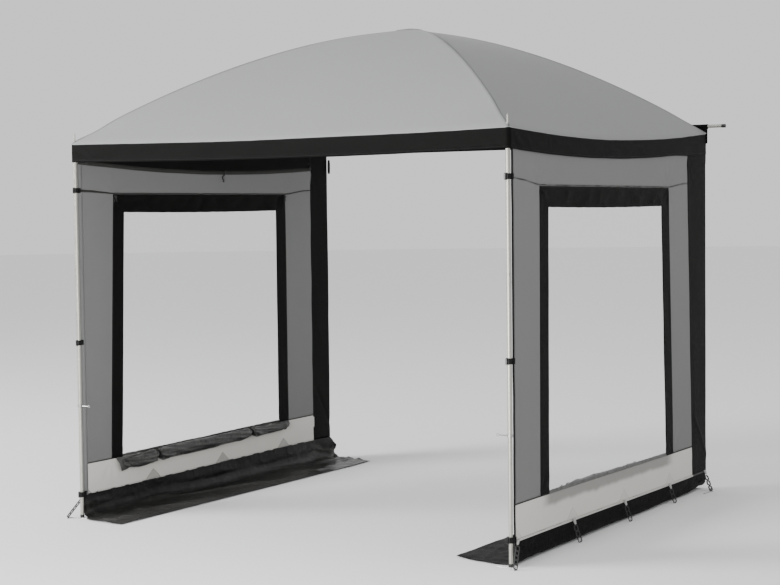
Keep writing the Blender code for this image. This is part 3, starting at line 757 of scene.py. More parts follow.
def make_link_tree():
    """Rounded links along a line, lying flat on it or standing round it."""
    tree, start, end = new_group(
        LINK_TREE, "GeometryNodeTree",
        (("Geometry", "Geometry", None), ("Spacing", "Float", 0.028), ("Long", "Float", 0.028),
         ("Wide", "Float", 0.011), ("Corner", "Float", 0.004), ("Bar width", "Float", 0.0024),
         ("Bar thickness", "Float", 0.0022), ("Facing", "Vector", (1.0, 0.0, 0.0)),
         ("Round the line", "Bool", False), ("Finish", "Material", None)),
        (("Geometry", "Geometry"),))
    curve = add_node(tree, "GeometryNodeMeshToCurve", {0: start["Geometry"]})
    spread = add_node(tree, "GeometryNodeResampleCurve",
                      {"Curve": curve.outputs[0], "Length": start["Spacing"]}, mode="LENGTH")
    outline = add_node(tree, "GeometryNodeCurvePrimitiveQuadrilateral",
                       {"Width": start["Wide"], "Height": start["Long"]})
    rounded = add_node(tree, "GeometryNodeFilletCurve",
                       {"Curve": outline.outputs[0], "Count": 4, "Radius": start["Corner"]},
                       mode="POLY")
    bar = add_node(tree, "GeometryNodeCurvePrimitiveQuadrilateral",
                   {"Width": start["Bar thickness"], "Height": start["Bar width"]})
    link = add_node(tree, "GeometryNodeCurveToMesh",
                    {"Curve": rounded.outputs[0], "Profile Curve": bar.outputs[0]})
    tangent = add_node(tree, "GeometryNodeInputTangent").outputs[0]
    long_way = add_node(tree, "GeometryNodeSwitch",
                        {0: start["Round the line"], 1: tangent, 2: start["Facing"]},
                        input_type="VECTOR")
    flat_way = add_node(tree, "GeometryNodeSwitch",
                        {0: start["Round the line"], 1: start["Facing"], 2: tangent},
                        input_type="VECTOR")
    upright = add_node(tree, "FunctionNodeAlignRotationToVector",
                       {"Vector": long_way.outputs[0]}, axis="Y")
    turn = add_node(tree, "FunctionNodeAlignRotationToVector",
                    {"Rotation": upright.outputs[0], "Vector": flat_way.outputs[0]},
                    axis="Z", pivot_axis="Y")
    laid = add_node(tree, "GeometryNodeInstanceOnPoints",
                    {"Points": spread.outputs[0], "Instance": link.outputs[0],
                     "Rotation": turn.outputs[0]})
    end_tree(tree, laid.outputs[0], start["Finish"], end)


def line_mesh(name, lines):
    """Chains of points as edges, for a tree to follow."""
    points, edges = [], []
    for line in lines:
        first = len(points)
        points += line
        edges += [(first + i, first + i + 1) for i in range(len(line) - 1)]
    mesh = bpy.data.meshes.new(name)
    mesh.from_pydata(points, edges, [])
    return mesh


def grow(name, tree_name, lines, finish, values):
    """Runs a tree along lines and keeps what it makes as a plain mesh."""
    tree = bpy.data.node_groups[tree_name]
    seed = bpy.data.objects.new(name, line_mesh(name, lines))
    bpy.context.scene.collection.objects.link(seed)
    modifier = seed.modifiers.new("Tree", "NODES")
    modifier.node_group = tree
    for item in tree.interface.items_tree:
        if item.in_out == "INPUT" and item.name in values:
            modifier[item.identifier] = values[item.name]
        elif item.in_out == "INPUT" and item.socket_type == "NodeSocketMaterial":
            modifier[item.identifier] = MATERIALS[finish]
    bpy.context.view_layer.update()
    graph = bpy.context.evaluated_depsgraph_get()
    mesh = bpy.data.meshes.new_from_object(seed.evaluated_get(graph))
    bpy.data.objects.remove(seed)
    if not mesh.polygons:
        raise RuntimeError(f"{name}: the tree made nothing")
    mesh.name = name
    add_piece(name, mesh, finish)


# The roof

def hip_spots(count):
    """Places from hip to hip across a panel, closer together beside the hips."""
    half = [1 - (i / count) ** 1.7 for i in range(count, -1, -1)]
    return [-value for value in reversed(half)] + half[1:]


def quarter_point(quarter, place, out, lift=0.0):
    place *= out
    across, along = ((-place, -out), (out, -place), (place, out), (-out, place))[quarter]
    return roof_point(across, along, lift)


def roof_lift(quarter, place, out):
    """The hip's raised seam, the puckers beside it and the soft unevenness of the panel."""
    away = (1 - abs(place)) * out * HIP_SCALE
    run = out * 1.85
    hip = (quarter + (0 if place > 0 else 1)) % 4
    ridge = 0.0022 * bell(away, 0.010) * smooth(out, 0.03, 0.09)
    fold = ripple(run * 9, hip * 5.3, away * 7) + 0.6 * ripple(run * 25, hip * 9.1, away * 10)
    pucker = -0.0045 * max(0.0, fold) * fade(away, 0.045) * (1 - fade(away, 0.012))
    pucker *= smooth(out, 0.08, 0.3)
    spot = quarter_point(quarter, place, out)
    swell = 0.0028 * ripple(spot.x * 1.6, spot.y * 1.6, 2.2)
    dip = -0.009 * bell(out - 0.93, 0.04) * fade(away, 0.09)
    dip *= 1.0 if spot.y < 0 else 0.3
    hem = 0.0012 * ripple(place * 16, quarter * 3.7) * fade(1 - out, 0.03)
    soft = (swell * smooth(out, 0.0, 0.3) + hem) * smooth(1 - abs(place), 0, 0.2)
    return ridge + pucker + dip + soft


def beside_hip(hip, shift, out, lift):
    """A point of the roof cloth at a small distance from a hip, on either panel."""
    edge = 1 - abs(shift) / (out * HIP_SCALE)
    quarter, place = (hip, edge) if shift > 0 else ((hip + 3) % 4, -edge)
    return quarter_point(quarter, place, out, roof_lift(quarter, place, out) + lift)


def sew_roof():
    """One sheet of four panels: each runs from the crown to the eave and turns down over it."""
    shape = bmesh.new()
    columns, rows, lip, under = 34, 54, 0.006, 0.0008
    spots = hip_spots(columns)
    rings = [0.0] + [((i + 1) / rows) ** 1.15 for i in range(rows)] + [1 + lip / 2, 1 + lip]
    for quarter in range(4):
        def place(a, b, quarter=quarter):
            if b <= 1:
                point = quarter_point(quarter, a, b, roof_lift(quarter, a, b))
                return point - Z_WAY * under
            edge = quarter_point(quarter, a, 1, roof_lift(quarter, a, 1))
            outward = Vector(((0, -1, 0), (1, 0, 0), (0, 1, 0), (-1, 0, 0))[quarter])
            drop = (b - 1) * 0.9
            return edge + outward * (0.0006 if quarter != 2 else -0.0004) - Z_WAY * drop

        def metres(a, b, quarter=quarter):
            half = HALF_WIDTH if quarter % 2 == 0 else HALF_DEPTH
            return a * b * half + quarter * 3, b * 1.36

        def seam_line_and_crease_shade(a, b):
            away = (1 - abs(a)) * b * HIP_SCALE
            core = bell(away, 0.0070) * smooth(b, 0.18, 0.34)
            # The soft band is painted shade along the crease over the hip's pole; the core is the
            # dark seam line.
            soft = 0.30 * bell(away, 0.018) * bell(b - 0.45, 0.17)
            return core + soft

        add_grid(shape, spots, rings, place, uv=metres, marks={"seam": seam_line_and_crease_shade})
    bmesh.ops.remove_doubles(shape, verts=shape.verts, dist=0.00012)
    tidy_normals(shape)
    if sum(face.normal.z * face.calc_area() for face in shape.faces) < 0:
        bmesh.ops.reverse_faces(shape, faces=shape.faces)
    cut_eyelets(shape)
    roof = cloth_piece("roof_cloth", shape, "roof_cloth", 0.0012,
                       stands_for=("roof_canopy",))
    stitch_hips()


def stitch_hips():
    """A row of stitches on either side of each hip."""
    for hip in range(4):
        for shift in (-0.0045, 0.0045):
            seam("roof", [beside_hip(hip, shift, out, 0.0) for out in steps(0.008, 0.20, 0.955)])


def cut_eyelets(shape):
    """Opens the cloth where the leg spikes pass through the front corners."""
    for _, sign in SIDES:
        spike = Vector((sign * LEG_X, LEG_Y))
        near = [face for face in shape.faces
                if (face.calc_center_median().xy - spike).length < SPIKE_RADIUS]
        bmesh.ops.delete(shape, geom=near, context="FACES")


def eyelet_height(sign):
    across = sign * LEG_X / HALF_WIDTH
    return roof_height(across, (LEG_Y - Y_MIDDLE) / HALF_DEPTH)


def pipe_eave():
    """A thin cord in roof cloth along the eave, over the top of the valance."""
    shape = bmesh.new()
    line = [Vector((*(spot + normal * 0.0016), eave_at(spot) - 0.0022))
            for spot, normal in valance_path()]
    add_wire(shape, line, 0.0017, Z_WAY)
    lay_uv(shape)
    add_solid("eave_piping", shape, "roof_cloth")


def fit_eyelets():
    """Pressed metal rings round the spikes, above and below the cloth."""
    shape = bmesh.new()
    profile = [(0.0050, -0.0032), (0.0050, 0.0014), (0.0062, 0.0022), (0.0080, 0.0020),
               (0.0090, 0.0008), (0.0090, -0.0004), (0.0090, -0.0028), (0.0075, -0.0036)]
    for _, sign in SIDES:
        centre = Vector((sign * LEG_X, LEG_Y, eyelet_height(sign)))
        add_turned(shape, profile, centre, closed=True)
    add_solid("eyelet_rings", shape, "bright_steel")


def sew_crown_patch():
    """A round patch over the hub, with two rows of stitches near its edge."""
    shape = bmesh.new()
    rim = 0.072
    radii = [0.001, 0.015, 0.03, 0.045, 0.055, 0.062, 0.067, 0.070, rim, 0.074, 0.076]

    def on_roof(radius, turn, lift):
        return roof_point(radius * math.cos(turn) / HALF_WIDTH,
                          radius * math.sin(turn) / HALF_DEPTH, lift)

    def place(turn, radius):
        return on_roof(radius, turn, 0.0010 + 0.0010 * bell(radius - rim, 0.004))

    add_grid(shape, steps(2 * math.pi / 64, 0.0, 2 * math.pi), radii, place, flip=True,
             uv=lambda a, b: (b * math.cos(a), b * math.sin(a)))
    bmesh.ops.remove_doubles(shape, verts=shape.verts, dist=0.0001)
    patch = cloth_piece("crown_patch", shape, "crown_cloth", 0.0010)
    for radius in (0.066, 0.070):
        seam("roof", [on_roof(radius, t, 0.0024) for t in steps(0.06, 0.0, 2 * math.pi)])


def tie_poles():
    """Cloth loops sewn under the hips, which hold the arched poles to the roof."""
    outs = steps(0.02, 0.14, 0.86)
    lines = [[roof_point(sign_x * out, sign_y * out, -ARCH_DEPTH) for out in outs]
             for sign_x in (-1, 1) for sign_y in (-1, 1)]
    grow("pole_loops", LINK_TREE, lines, "webbing",
         {"Spacing": 0.27, "Long": 0.0210, "Wide": 0.0160, "Corner": 0.0075,
          "Bar width": 0.022, "Bar thickness": 0.0012, "Facing": (0.0, 0.0, 1.0),
          "Round the line": True})


def tape_hips():
    """Tapes under the roof's four hip seams."""
    shape = bmesh.new()
    middle = 0.0001
    shifts = [-0.010, -0.005, -middle, middle, 0.005, 0.010]
    for hip in range(4):
        def place(shift, out, hip=hip):
            lower = 0.0010 if abs(shift) == middle else 0.0
            return beside_hip(hip, shift, out, -0.0026 - lower)

        add_grid(shape, shifts, steps(0.02, 0.06, 0.93), place, uv=lambda a, b: (a, b * 1.8))
    tape = cloth_piece("hip_tapes", tidy_normals(shape), "zip_cloth", 0.0008, weld=0.00025)


# The valance

def valance_path():
    """Plan points round the left side, the front and the right side, with outward normals."""
    inset, pitch = 0.0010, 0.011
    edge_x, edge_y = HALF_WIDTH - inset, FRONT + inset
    start = -edge_x + CORNER_ROUND
    centre = Vector((start, edge_y + CORNER_ROUND))
    side = [(Vector((-edge_x, y)), Vector((-1, 0)))
            for y in steps(pitch, REAR - 0.001, FRONT + CORNER_ROUND)]
    for turn in steps(math.pi / 20, math.pi, 1.5 * math.pi)[1:]:
        normal = Vector((math.cos(turn), math.sin(turn)))
        side.append((centre + normal * CORNER_ROUND, normal))
    front = [(Vector((x, edge_y)), Vector((0, -1))) for x in steps(pitch, start, -start)[1:]]
    other = [(Vector((-spot.x, spot.y)), Vector((-normal.x, normal.y)))
             for spot, normal in reversed(side)]
    return side + front + other


def eave_at(spot):
    """The eave's height over a plan point on the edge."""
    if spot.y > FRONT + CORNER_ROUND:
        return side_eave(spot.y)
    return roof_height(max(-1.0, min(1.0, spot.x / HALF_WIDTH)), -1)


def valance_drop(spot):
    return VALANCE_TALL + 0.024 * smooth(spot.y - FRONT, 1.9, 2.4)


def valance_fold(run, spot, down):
    """How far the valance stands out, more towards its foot."""
    wave = 0.0030 * ripple(run * 1.5, 1.1) + 0.0016 * ripple(run * 6.5, down * 9, 4.4)
    corner = min((spot - Vector((sign * HALF_WIDTH, FRONT))).length for _, sign in SIDES)
    drag = math.sin((run * 1.0 - down * 1.4) * 60) * fade(corner, 0.13) * 0.0026
    out = (wave + drag * smooth(corner, 0.02, 0.07)) * smooth(down, 0.004, 0.05)
    low = lerp(-0.0060, -0.0010, smooth(spot.y, FRONT, FRONT + 0.02))
    return max(low, out + 0.0006)


def hang_valance():
    """One black strip round three sides, with a turned-up hem."""
    path = valance_path()
    runs = [0.0]
    for (a, _), (b, _) in zip(path, path[1:]):
        runs.append(runs[-1] + (b - a).length)
    lookup = dict(zip(runs, path))
    downs = [0.0012, 0.004, 0.010, 0.018, 0.027, 0.037, 0.047, 0.057, 0.067, 0.077, 0.085, 0.0855,
             0.091, VALANCE_TALL]
    hem = [0.0985, 0.1025, 0.1085]

    def place(run, down):
        spot, normal = lookup[run]
        drop = valance_drop(spot) / VALANCE_TALL
        fold = valance_fold(run, spot, min(down, VALANCE_TALL))
        if down > VALANCE_HEM:
            fold += 0.0004
        if down > VALANCE_TALL:
            fold -= 0.0014
        depth = down if down <= VALANCE_TALL else 2 * VALANCE_TALL - down + 0.0008
        plan = spot + normal * fold
        wavy = 0.0012 * ripple(run * 4.2, 9.9) * down / VALANCE_TALL
        return Vector((plan.x, plan.y, eave_at(spot) - 0.0015 - depth * drop - wavy))

    shape = bmesh.new()
    add_grid(shape, runs, downs + hem, place, flip=True,
             marks={"seam": lambda a, b: 0.5 * bell(b - VALANCE_HEM, 0.002)})
    valance = cloth_piece("valance_cloth", shape, "black_cloth", 0.0010,
                          stands_for=("valance_front", "valance_left", "valance_right"))
    for down, lift in ((0.0065, 0.0009), (0.0880, 0.0011)):
        seam("valance", [place(run, down) + normal.to_3d() * lift
                         for run, (_, normal) in lookup.items()])


# The side walls

def wall_stop(back):
    """The top of a wall, just under the eave."""
    return side_eave(FRONT + back) - 0.0045


def wall_rows():
    """Heights up to the top seam as numbers, then shares of the strip above it."""
    rim = BORDER_OUTER[2] - LAP
    low = steps(0.014, BAND_TOP + 0.001, rim) + steps(0.004, rim, 1.777)[1:]
    return low, [2 + i / 12 for i in range(1, 13)]


def sew_wall(side, sign):
    """The grey panel: an arch round the window, with a puckered seam above it."""
    fixed, shares = wall_rows()
    last = fixed[-1]

    def place(back, row):
        z = row if row <= 2 else lerp(last, wall_stop(back), row - 2)
        return hang(side, back, z)

    def metres(back, row):
        return back, (row if row <= 2 else lerp(last, 1.985, row - 2))

    def keep(back, row):
        beside = BORDER_OUTER[0] + LAP < back < BORDER_OUTER[1] - LAP
        return not (beside and row < BORDER_OUTER[2] - LAP)

    def dark(back, row):
        rough = 0.55 + 0.9 * ripple(back * 30, 1.7)
        return 0.9 * max(0.0, rough) * bell(row - seam_height(side, back), 0.0045)

    def shade(back, row):
        # Painted shade: the panel darker towards its foot and lighter near the top, where more light
        # falls.
        return 0.10 * (1 - smooth(row, 0.3, 1.75))

    backs = steps(0.0135, WALL_START, BORDER_OUTER[0] + LAP, BORDER_OUTER[1] - LAP,
                  STRIP_START + 0.010)
    shape = bmesh.new()
    add_grid(shape, backs, fixed + shares, place, keep=keep, flip=sign < 0, uv=metres,
             marks={"seam": dark, "shade": shade})
    panel = cloth_piece(f"wall_cloth_{side}", shape, "wall_cloth", 0.0012,
                        stands_for=(f"wall_panel_{side}",))


def sew_seam_tapes(side, sign):
    """A tape on both faces along the top seam, and one where the panel meets the band."""
    tape = bmesh.new()
    for face in FACES:
        def top_place(back, rise, face=face):
            if face < 0:
                half = lerp(0.0068, 0.0030, smooth(back, 0.05, 0.34))
                over = 0.0034 * (1 - smooth(back, 0.072, 0.092))
            else:
                half, over = 0.0007 + 0.0022 * max(0.0, 0.3 + ripple(back * 13, 2.0)), 0.0
            out = face * (0.0011 + 0.0005 * ripple(back * 30, face * 3.0) + over)
            ruck = 0.0022 * ripple(back * 16, 4.0)
            return hang(side, back, seam_height(side, back) + rise * half + ruck, out)

        first = WALL_START + 0.002 if face > 0 else 0.034
        add_grid(tape, steps(0.009, first, STRIP_START + 0.004), TAPE_ROWS,
                 top_place, flip=(sign < 0) != (face < 0), uv=lambda a, b: (a, b * 0.005))
    for face in FACES:
        def join_place(back, rise, face=face):
            return hang(side, back, BAND_TOP + 0.003 * rise + 0.0005 * ripple(back * 40, 1.0),
                        face * 0.0010)

        add_grid(tape, steps(0.012, WALL_START, STRIP_START + 0.006), TAPE_ROWS, join_place,
                 keep=lambda a, b: not BORDER_INNER[0] < a < BORDER_INNER[1],
                 flip=(sign < 0) != (face < 0), uv=lambda a, b: (a, b * 0.003))
    tapes = cloth_piece(f"seam_tapes_{side}", tape, "zip_cloth", 0.0006)
    stitch_wall(side, 0.0009, [(back, seam_height(side, back) + 0.0045)
                               for back in steps(0.03, WALL_START + 0.01, STRIP_START)])


def sew_border(side, sign):
    """The black window border, thicker than the wall, with rolled and wrinkled cloth on top."""
    outer_a, outer_b, top = BORDER_OUTER
    inner_a, inner_b, inner_top = BORDER_INNER
    backs = steps(0.0085, outer_a, inner_a) + steps(0.012, inner_a, inner_b)[1:]
    backs += steps(0.0085, inner_b, outer_b)[1:]
    rows = steps(0.012, BAND_TOP - 0.001, inner_top) + steps(0.0085, inner_top, top)[1:]

    def place(back, z):
        sag = 0.0
        if z > inner_top - 0.2:
            share = 1 - ((back - 1.1) / 0.72) ** 2
            sag = 0.005 * max(0.0, share) * smooth(z, 1.45, inner_top) * (1 - smooth(z, 1.66, top))
            sag += 0.0016 * ripple(back * 17, 2.0) * bell(z - inner_top, 0.01)
        rim = smooth(min(back - outer_a, outer_b - back, top - z), LAP - 0.002, LAP + 0.014)
        fold = 2.2 * ridge(back * 4.5 + z * 2.0, z * 6 - back * 3.5, sign * 4.0, 2) - 0.8
        high = smooth(z, inner_top - 0.01, inner_top + 0.03)
        out = high * (0.0022 * fold + 0.0012 * ripple(back * 14, z * 30, 3.3))
        out += (1 - high) * 0.0012 * ripple(back * 16, z * 4, 6.1)
        return hang(side, back, z - sag, out * rim)

    def keep(back, z):
        return not (inner_a < back < inner_b and z < inner_top)

    def dark(back, z):
        edge = min(abs(back - outer_a), abs(back - outer_b), abs(z - top))
        return 0.4 * bell(edge, 0.004)

    shape = bmesh.new()
    add_grid(shape, backs, rows, place, keep=keep, flip=sign < 0, marks={"seam": dark})
    border = cloth_piece(f"window_edging_{side}", shape, "black_cloth", 0.0034,
                         stands_for=(f"window_border_{side}",))
    inset = 0.006
    corners = [(outer_a + inset, BAND_TOP + 0.01), (outer_a + inset, top - inset),
               (outer_b - inset, top - inset), (outer_b - inset, BAND_TOP + 0.01)]
    path = [(lerp(a, b, t), lerp(c, d, t)) for (a, c), (b, d) in zip(corners, corners[1:])
            for t in steps(0.03, 0.0, 1.0)[:-1]]
    stitch_wall(side, 0.0019, path)


def sew_window_hem(side, sign):
    """The ruffled hem at the foot of the window, where the blind's cloth starts."""
    start, end, _ = BORDER_INNER

    def place(back, share):
        high = 0.016 + 0.0030 * ripple(back * 5, 3.1) + 0.0016 * ripple(back * 31, 7.0)
        out = 0.0014 * ripple(back * 24, share * 2.5, 7.7) + 0.0008 * math.sin(share * 5)
        return hang(side, back, BAND_TOP - 0.002 + high * share, out)

    shape = bmesh.new()
    add_grid(shape, steps(0.008, start - 0.004, end + 0.004), steps(0.2, 0.0, 1.0), place,
             flip=sign < 0, uv=lambda a, b: (a, b * 0.017))
    foot = cloth_piece(f"window_hem_{side}", shape, "blind_cloth", 0.0028)


def hang_film(side, sign):
    """The clear window, tucked behind the border."""
    inner_a, inner_b, inner_top = BORDER_INNER
    shape = bmesh.new()

    def place(back, z):
        soft = 0.0022 * ripple(back * 2.2, z * 1.8, sign * 5.0)
        edge = min(back - inner_a, inner_b - back, inner_top - z, z - BORDER_FOOT)
        return hang(side, back, z, soft * smooth(edge, 0.0, 0.12))

    add_grid(shape, steps(0.03, inner_a - 0.006, inner_b + 0.006),
             steps(0.03, BORDER_FOOT - 0.006, inner_top + 0.006), place, flip=sign < 0)
    film = cloth_piece(f"clear_window_{side}", shape, "window_film", 0.0005,
                       stands_for=(f"window_film_{side}",))


def blind_shade(side, back, z):
    """The soft shade that the rolled blind casts through the thin light band."""
    start, end = BLIND_SPAN
    along = smooth(back, start - 0.05, start + 0.06) * (1 - smooth(back, end - 0.10, end + 0.02))
    ragged = 0.010 * ripple(back * 6, 3.0) + 0.006 * ripple(back * 21, 1.0)
    down = smooth(z, 0.215 + ragged, 0.240 + ragged) * (1 - smooth(z, 0.279, 0.286) * 0.4)
    return (0.56 if side == "right" else 0.18) * along * down


def sew_band(side, sign):
    """The light band under the window, with a seam along its foot and its top."""
    shape = bmesh.new()
    rows = [BAND_FOOT + 0.001, BAND_FOOT + 0.003, BAND_FOOT + 0.007]
    rows += steps(0.009, BAND_FOOT + 0.012, BAND_TOP - 0.010) + [BAND_TOP - 0.004, BAND_TOP]

    def place(back, z):
        pull = 0.0
        for spot in PATCHES + (0.065,):
            pull += 0.0008 * bell(back - spot, 0.05) * (BAND_TOP - z) / 0.17
        crease = 0.0011 * ripple(back * 11, z * 16, sign * 2.0)
        return hang(side, back, z, (crease + pull) * (1 - smooth(z, 0.262, 0.280)))

    def dark(back, z):
        return 0.35 * bell(z - BAND_FOOT - 0.004, 0.003)

    add_grid(shape, steps(0.011, WALL_START, STRIP_START + 0.010), rows, place, flip=sign < 0,
             marks={"seam": dark, "shade": lambda a, b: blind_shade(side, a, b)})
    band = cloth_piece(f"band_cloth_{side}", shape, "band_cloth", 0.0012,
                       stands_for=(f"light_band_{side}",))
    backs = steps(0.03, WALL_START + 0.01, STRIP_START)
    stitch_wall(side, 0.0012, *([(back, z) for back in backs]
                                for z in (BAND_FOOT + 0.006, BAND_TOP - 0.003)))


def sew_patches(side, sign):
    """Triangles of doubled cloth where each ladder loop pulls on the band."""
    shape = bmesh.new()
    wide, tall = 0.064, 0.058
    for spot in PATCHES + (WALL_START,):
        for face in FACES:
            def place(a, b, spot=spot, face=face):
                reach = wide * (1 - b) ** 0.92
                return hang(side, spot + a * reach, BAND_FOOT + 0.003 + b * tall, face * 0.0013)

            def edge(a, b):
                return 0.55 if abs(a) > 0.86 or b > 0.93 else 0.0

            def inner_shade(a, b, face=face):
                # Painted shade: each patch's inner face is darker than its outer face.
                return 0.16 - 0.16 * face

            start = 0.0 if spot == WALL_START else -1.0
            add_grid(shape, [a for a in (-1, -0.86, -0.4, 0, 0.4, 0.86, 1) if a >= start],
                     steps(0.12, 0.0, 0.985), place, flip=(sign < 0) != (face < 0),
                     uv=lambda a, b: (a * wide * (1 - b), b * tall),
                     marks={"seam": edge, "shade": inner_shade})
    patch = cloth_piece(f"band_patches_{side}", shape, "patch_cloth", 0.0006)


def sew_strip(side, sign):
    """The black strip that closes against the van, lapped over the wall's rear edge."""
    shape = bmesh.new()
    backs = [STRIP_START - 0.001, STRIP_START + 0.004] + steps(0.012, STRIP_START + 0.012, WALL_REAR)
    high = 1.72
    rows = steps(0.014, BAND_FOOT + 0.001, high)

    def place(back, row):
        z = row if row <= 2 else lerp(high, wall_stop(back), row - 2)
        near = 1 - smooth(back, STRIP_START, STRIP_START + 0.03)
        wavy = 0.004 * ripple(z * 7, sign * 1.3) * near
        crease = 0.0022 * ripple(back * 7 + z * 1.5, z * 2.2, sign * 4.0)
        slant = (z - 0.36) * 0.8 + (back - 2.32)
        crease += 0.0030 * bell(slant, 0.018) * (1 - smooth(z, 0.5, 0.6))
        edge = smooth(back, STRIP_START + 0.012, STRIP_START + 0.05)
        pulled = (-0.006 * ripple(z * 5, 2.6) ** 2) * smooth(back, 2.40, WALL_REAR)
        return hang(side, back + wavy + pulled, z, 0.0006 + crease * edge)

    add_grid(shape, backs, rows + [2 + i / 14 for i in range(1, 15)], place, flip=sign < 0,
             uv=lambda a, b: (a, b if b <= 2 else lerp(high, 2.03, b - 2)))
    strip = cloth_piece(f"seal_cloth_{side}", shape, "black_cloth", 0.0030,
                        stands_for=(f"seal_strip_{side}",))
    stitch_wall(side, 0.0024, [(STRIP_START + 0.008, z) for z in steps(0.03, 0.13, 1.98)],
                middle=0.0006)


def join_drop(back):
    """How far under the eave the black band inside ends, where the joining tape starts."""
    return 0.078 + 0.017 * back


def fit_zip_band(side, sign):
    """Inside the top of the wall: a black band and the dark tape that joins the wall to it."""
    tape_wide = 0.022
    for name, finish, out, wide, pitch, soft in (
            ("top_band", "black_cloth", -0.0016, 0.095, 0.1, 0.004),
            ("join_tape", "zip_cloth", -0.0026, tape_wide, 0.2, 0.0)):
        def place(back, share, name=name, out=out, soft=soft):
            edge = join_drop(back)
            low, high = (0.004, edge + 0.002) if name == "top_band" else (edge, edge + tape_wide)
            down = lerp(low, high, share) + 0.0012 * ripple(back * 5, 4.0)
            fold = soft * max(0.0, ripple(back * 2, down * 14, 8))
            return hang(side, back, wall_stop(back) - down, out - fold * share)

        shape = bmesh.new()
        add_grid(shape, steps(0.02, WALL_START + 0.004, STRIP_START + 0.01),
                 steps(pitch, 0.0, 1.0), place, flip=sign < 0, uv=lambda a, b: (a, b * 0.1))
        piece = cloth_piece(f"{name}_{side}", shape, finish, 0.0010)
    seam(f"zip_{side}", [hang(side, back, wall_stop(back) - join_drop(back) - 0.011, -0.0036)
                         for back in steps(0.03, WALL_START + 0.01, STRIP_START)])


# Skirt and blind

def ridge(x, y, seed, sharp):
    """Long sharp-crested folds, from 0 to 1."""
    return (1 - min(1.0, 1.6 * abs(ripple(x, y, seed)))) ** sharp


def skirt_bend(side, back):
    """How far in the skirt has swung by the time that it lies on the ground."""
    ends = (1 - smooth(back, 0.06, 0.22)) + smooth(back, 2.20, 2.38)
    wide = SKIRT_BEND[side] * (1 + 0.45 * ripple(back * 2.1, SKIRT_SEED[side]))
    end = 0.018 if back < 1 else 0.050
    return lerp(end, wide, 1 - min(1.0, ends))


def skirt_folds(side, back, down):
    """Folds across the whole skirt: long diagonals, and fans from the leg and the van end."""
    seed = SKIRT_SEED[side]
    front, rear = FAN_ENDS
    warp = 0.4 * ripple(back * 1.3, down * 2.2, seed)
    tall = ridge(back * 0.8 + down * 1.5 + warp, down * 5.5 - back * 1.5 + warp * 2, seed, 2)
    fine = ridge(back * 2.4 - down * 3 + warp, down * 9 + back * 2.4, seed + 4, 2)
    folds = 0.85 * tall * smooth(down, 0.01, 0.08) + 0.16 * fine * smooth(down, 0.0, 0.05)
    for away_back, count, size in ((back - front, 5.5, 1.0), (rear - back, 6.5, 1.3)):
        reach = math.hypot(away_back, down)
        turn = math.atan2(down + 0.005, away_back + 0.01)
        wave = (1 - abs(math.sin(count * turn + 0.7 + 2 * ripple(reach * 6, turn, seed)))) ** 1.5
        folds += 1.4 * size * wave * fade(reach, 0.20) * smooth(down, 0.0, 0.07)
    crumple = fade(rear - back, 0.16) * ridge(back * 12, down * 17, seed + 9, 2)
    ends = fade(rear - back, 0.22) + 0.8 * fade(back - front, 0.20)
    facet = noise.voronoi(Vector((back * 13 + folds, down * 15, seed)))[0][0]
    folds += 1.7 * ends ** 1.5 * (0.55 - facet) * smooth(down, 0.01, 0.05)
    return folds + 0.8 * crumple * smooth(down, 0.0, 0.05)


def skirt_path(side, back, down):
    """How far in and how high the plain skirt is, and the height that it hangs from."""
    bend = skirt_bend(side, back)
    foot = BAND_FOOT + 0.003 + FOOT_TILT[side] * smooth(back, 0.1, 2.3)
    straight = max(0.0, foot - bend)
    arc = bend * math.pi / 2
    if down <= straight:
        inward, z = 0.0, foot - down
    elif down <= straight + arc:
        turn = (down - straight) / bend
        inward, z = bend * (1 - math.cos(turn)), bend * (1 - math.sin(turn))
    else:
        inward, z = bend + down - straight - arc, 0.0
    return min(inward, SKIRT_WIDE), z, foot


def skirt_point(side, sign, share, down):
    """A point of the folded skirt, at a share of its length and a distance down its cloth."""
    hung_back = lerp(*SKIRT_ENDS, share)
    inward, z, foot = skirt_path(side, hung_back, down)
    start, end = between(SKIRT_PLAN[side], inward)
    back = lerp(start, end, share)
    low = smooth(foot - z, foot * 0.35, foot * 0.95)
    fold = skirt_folds(side, hung_back, down)
    ruck = 0.0020 * (1 + ripple(back * 13, inward * 21, 3.3))
    curl = 0.004 * smooth(inward, 0.29, 0.34) * max(0.0, ripple(back * 5, 5.1))
    flat = 1 - 0.75 * smooth(inward, 0.22, 0.32)
    lift = (SKIRT_LIFT[side] * fold * flat + ruck + curl) * low
    push = (0.0075 * fold + 0.001 * ruck) * (1 - low)
    bulge = wall_bulge(side, hung_back, BAND_FOOT) * (1 - smooth(down, 0, 0.06))
    sunk = min(1.0, max(0.0, (foot - z) / foot))
    rear = smooth(hung_back, 2.24, 2.42)
    if side == "left":
        push += 0.034 * rear * math.sin(math.pi * sunk) ** 0.7
    else:
        push *= 1 - 0.85 * rear
    swing = 0.012 * smooth(hung_back, 2.30, 2.43) * math.sin(min(1.0, down / 0.2) * math.pi)
    x = WALL_MIDDLE - inward - push + bulge * (1 - low)
    return Vector((sign * x, FRONT + back + max(0.0, swing), max(0.0012, z + lift + 0.0012)))


def skirt_shade(side, share, down):
    """Painted shade in the hollows and near the wall, with painted highlights along the creases at
    the two ends.
    """
    back = lerp(*SKIRT_ENDS, share)
    dull = 0.34 * (1 - skirt_folds(side, back, down)) + 0.85 * (1 - smooth(down, 0.06, 0.15))
    near = fade(FAN_ENDS[1] - back, 0.24) + 0.5 * fade(back, 0.16)
    painted_glint = ridge(back * 8 + down * 5, down * 12 - back * 6, 21.0, 5)
    painted_glint += 0.7 * ridge(back * 5 - down * 9, down * 6 + back * 9, 33.0, 6)
    # The dull part is painted shade; the glints lighten the colour as painted highlights.
    return min(0.90, dull) - 3.2 * near * painted_glint * smooth(down, 0.01, 0.05)


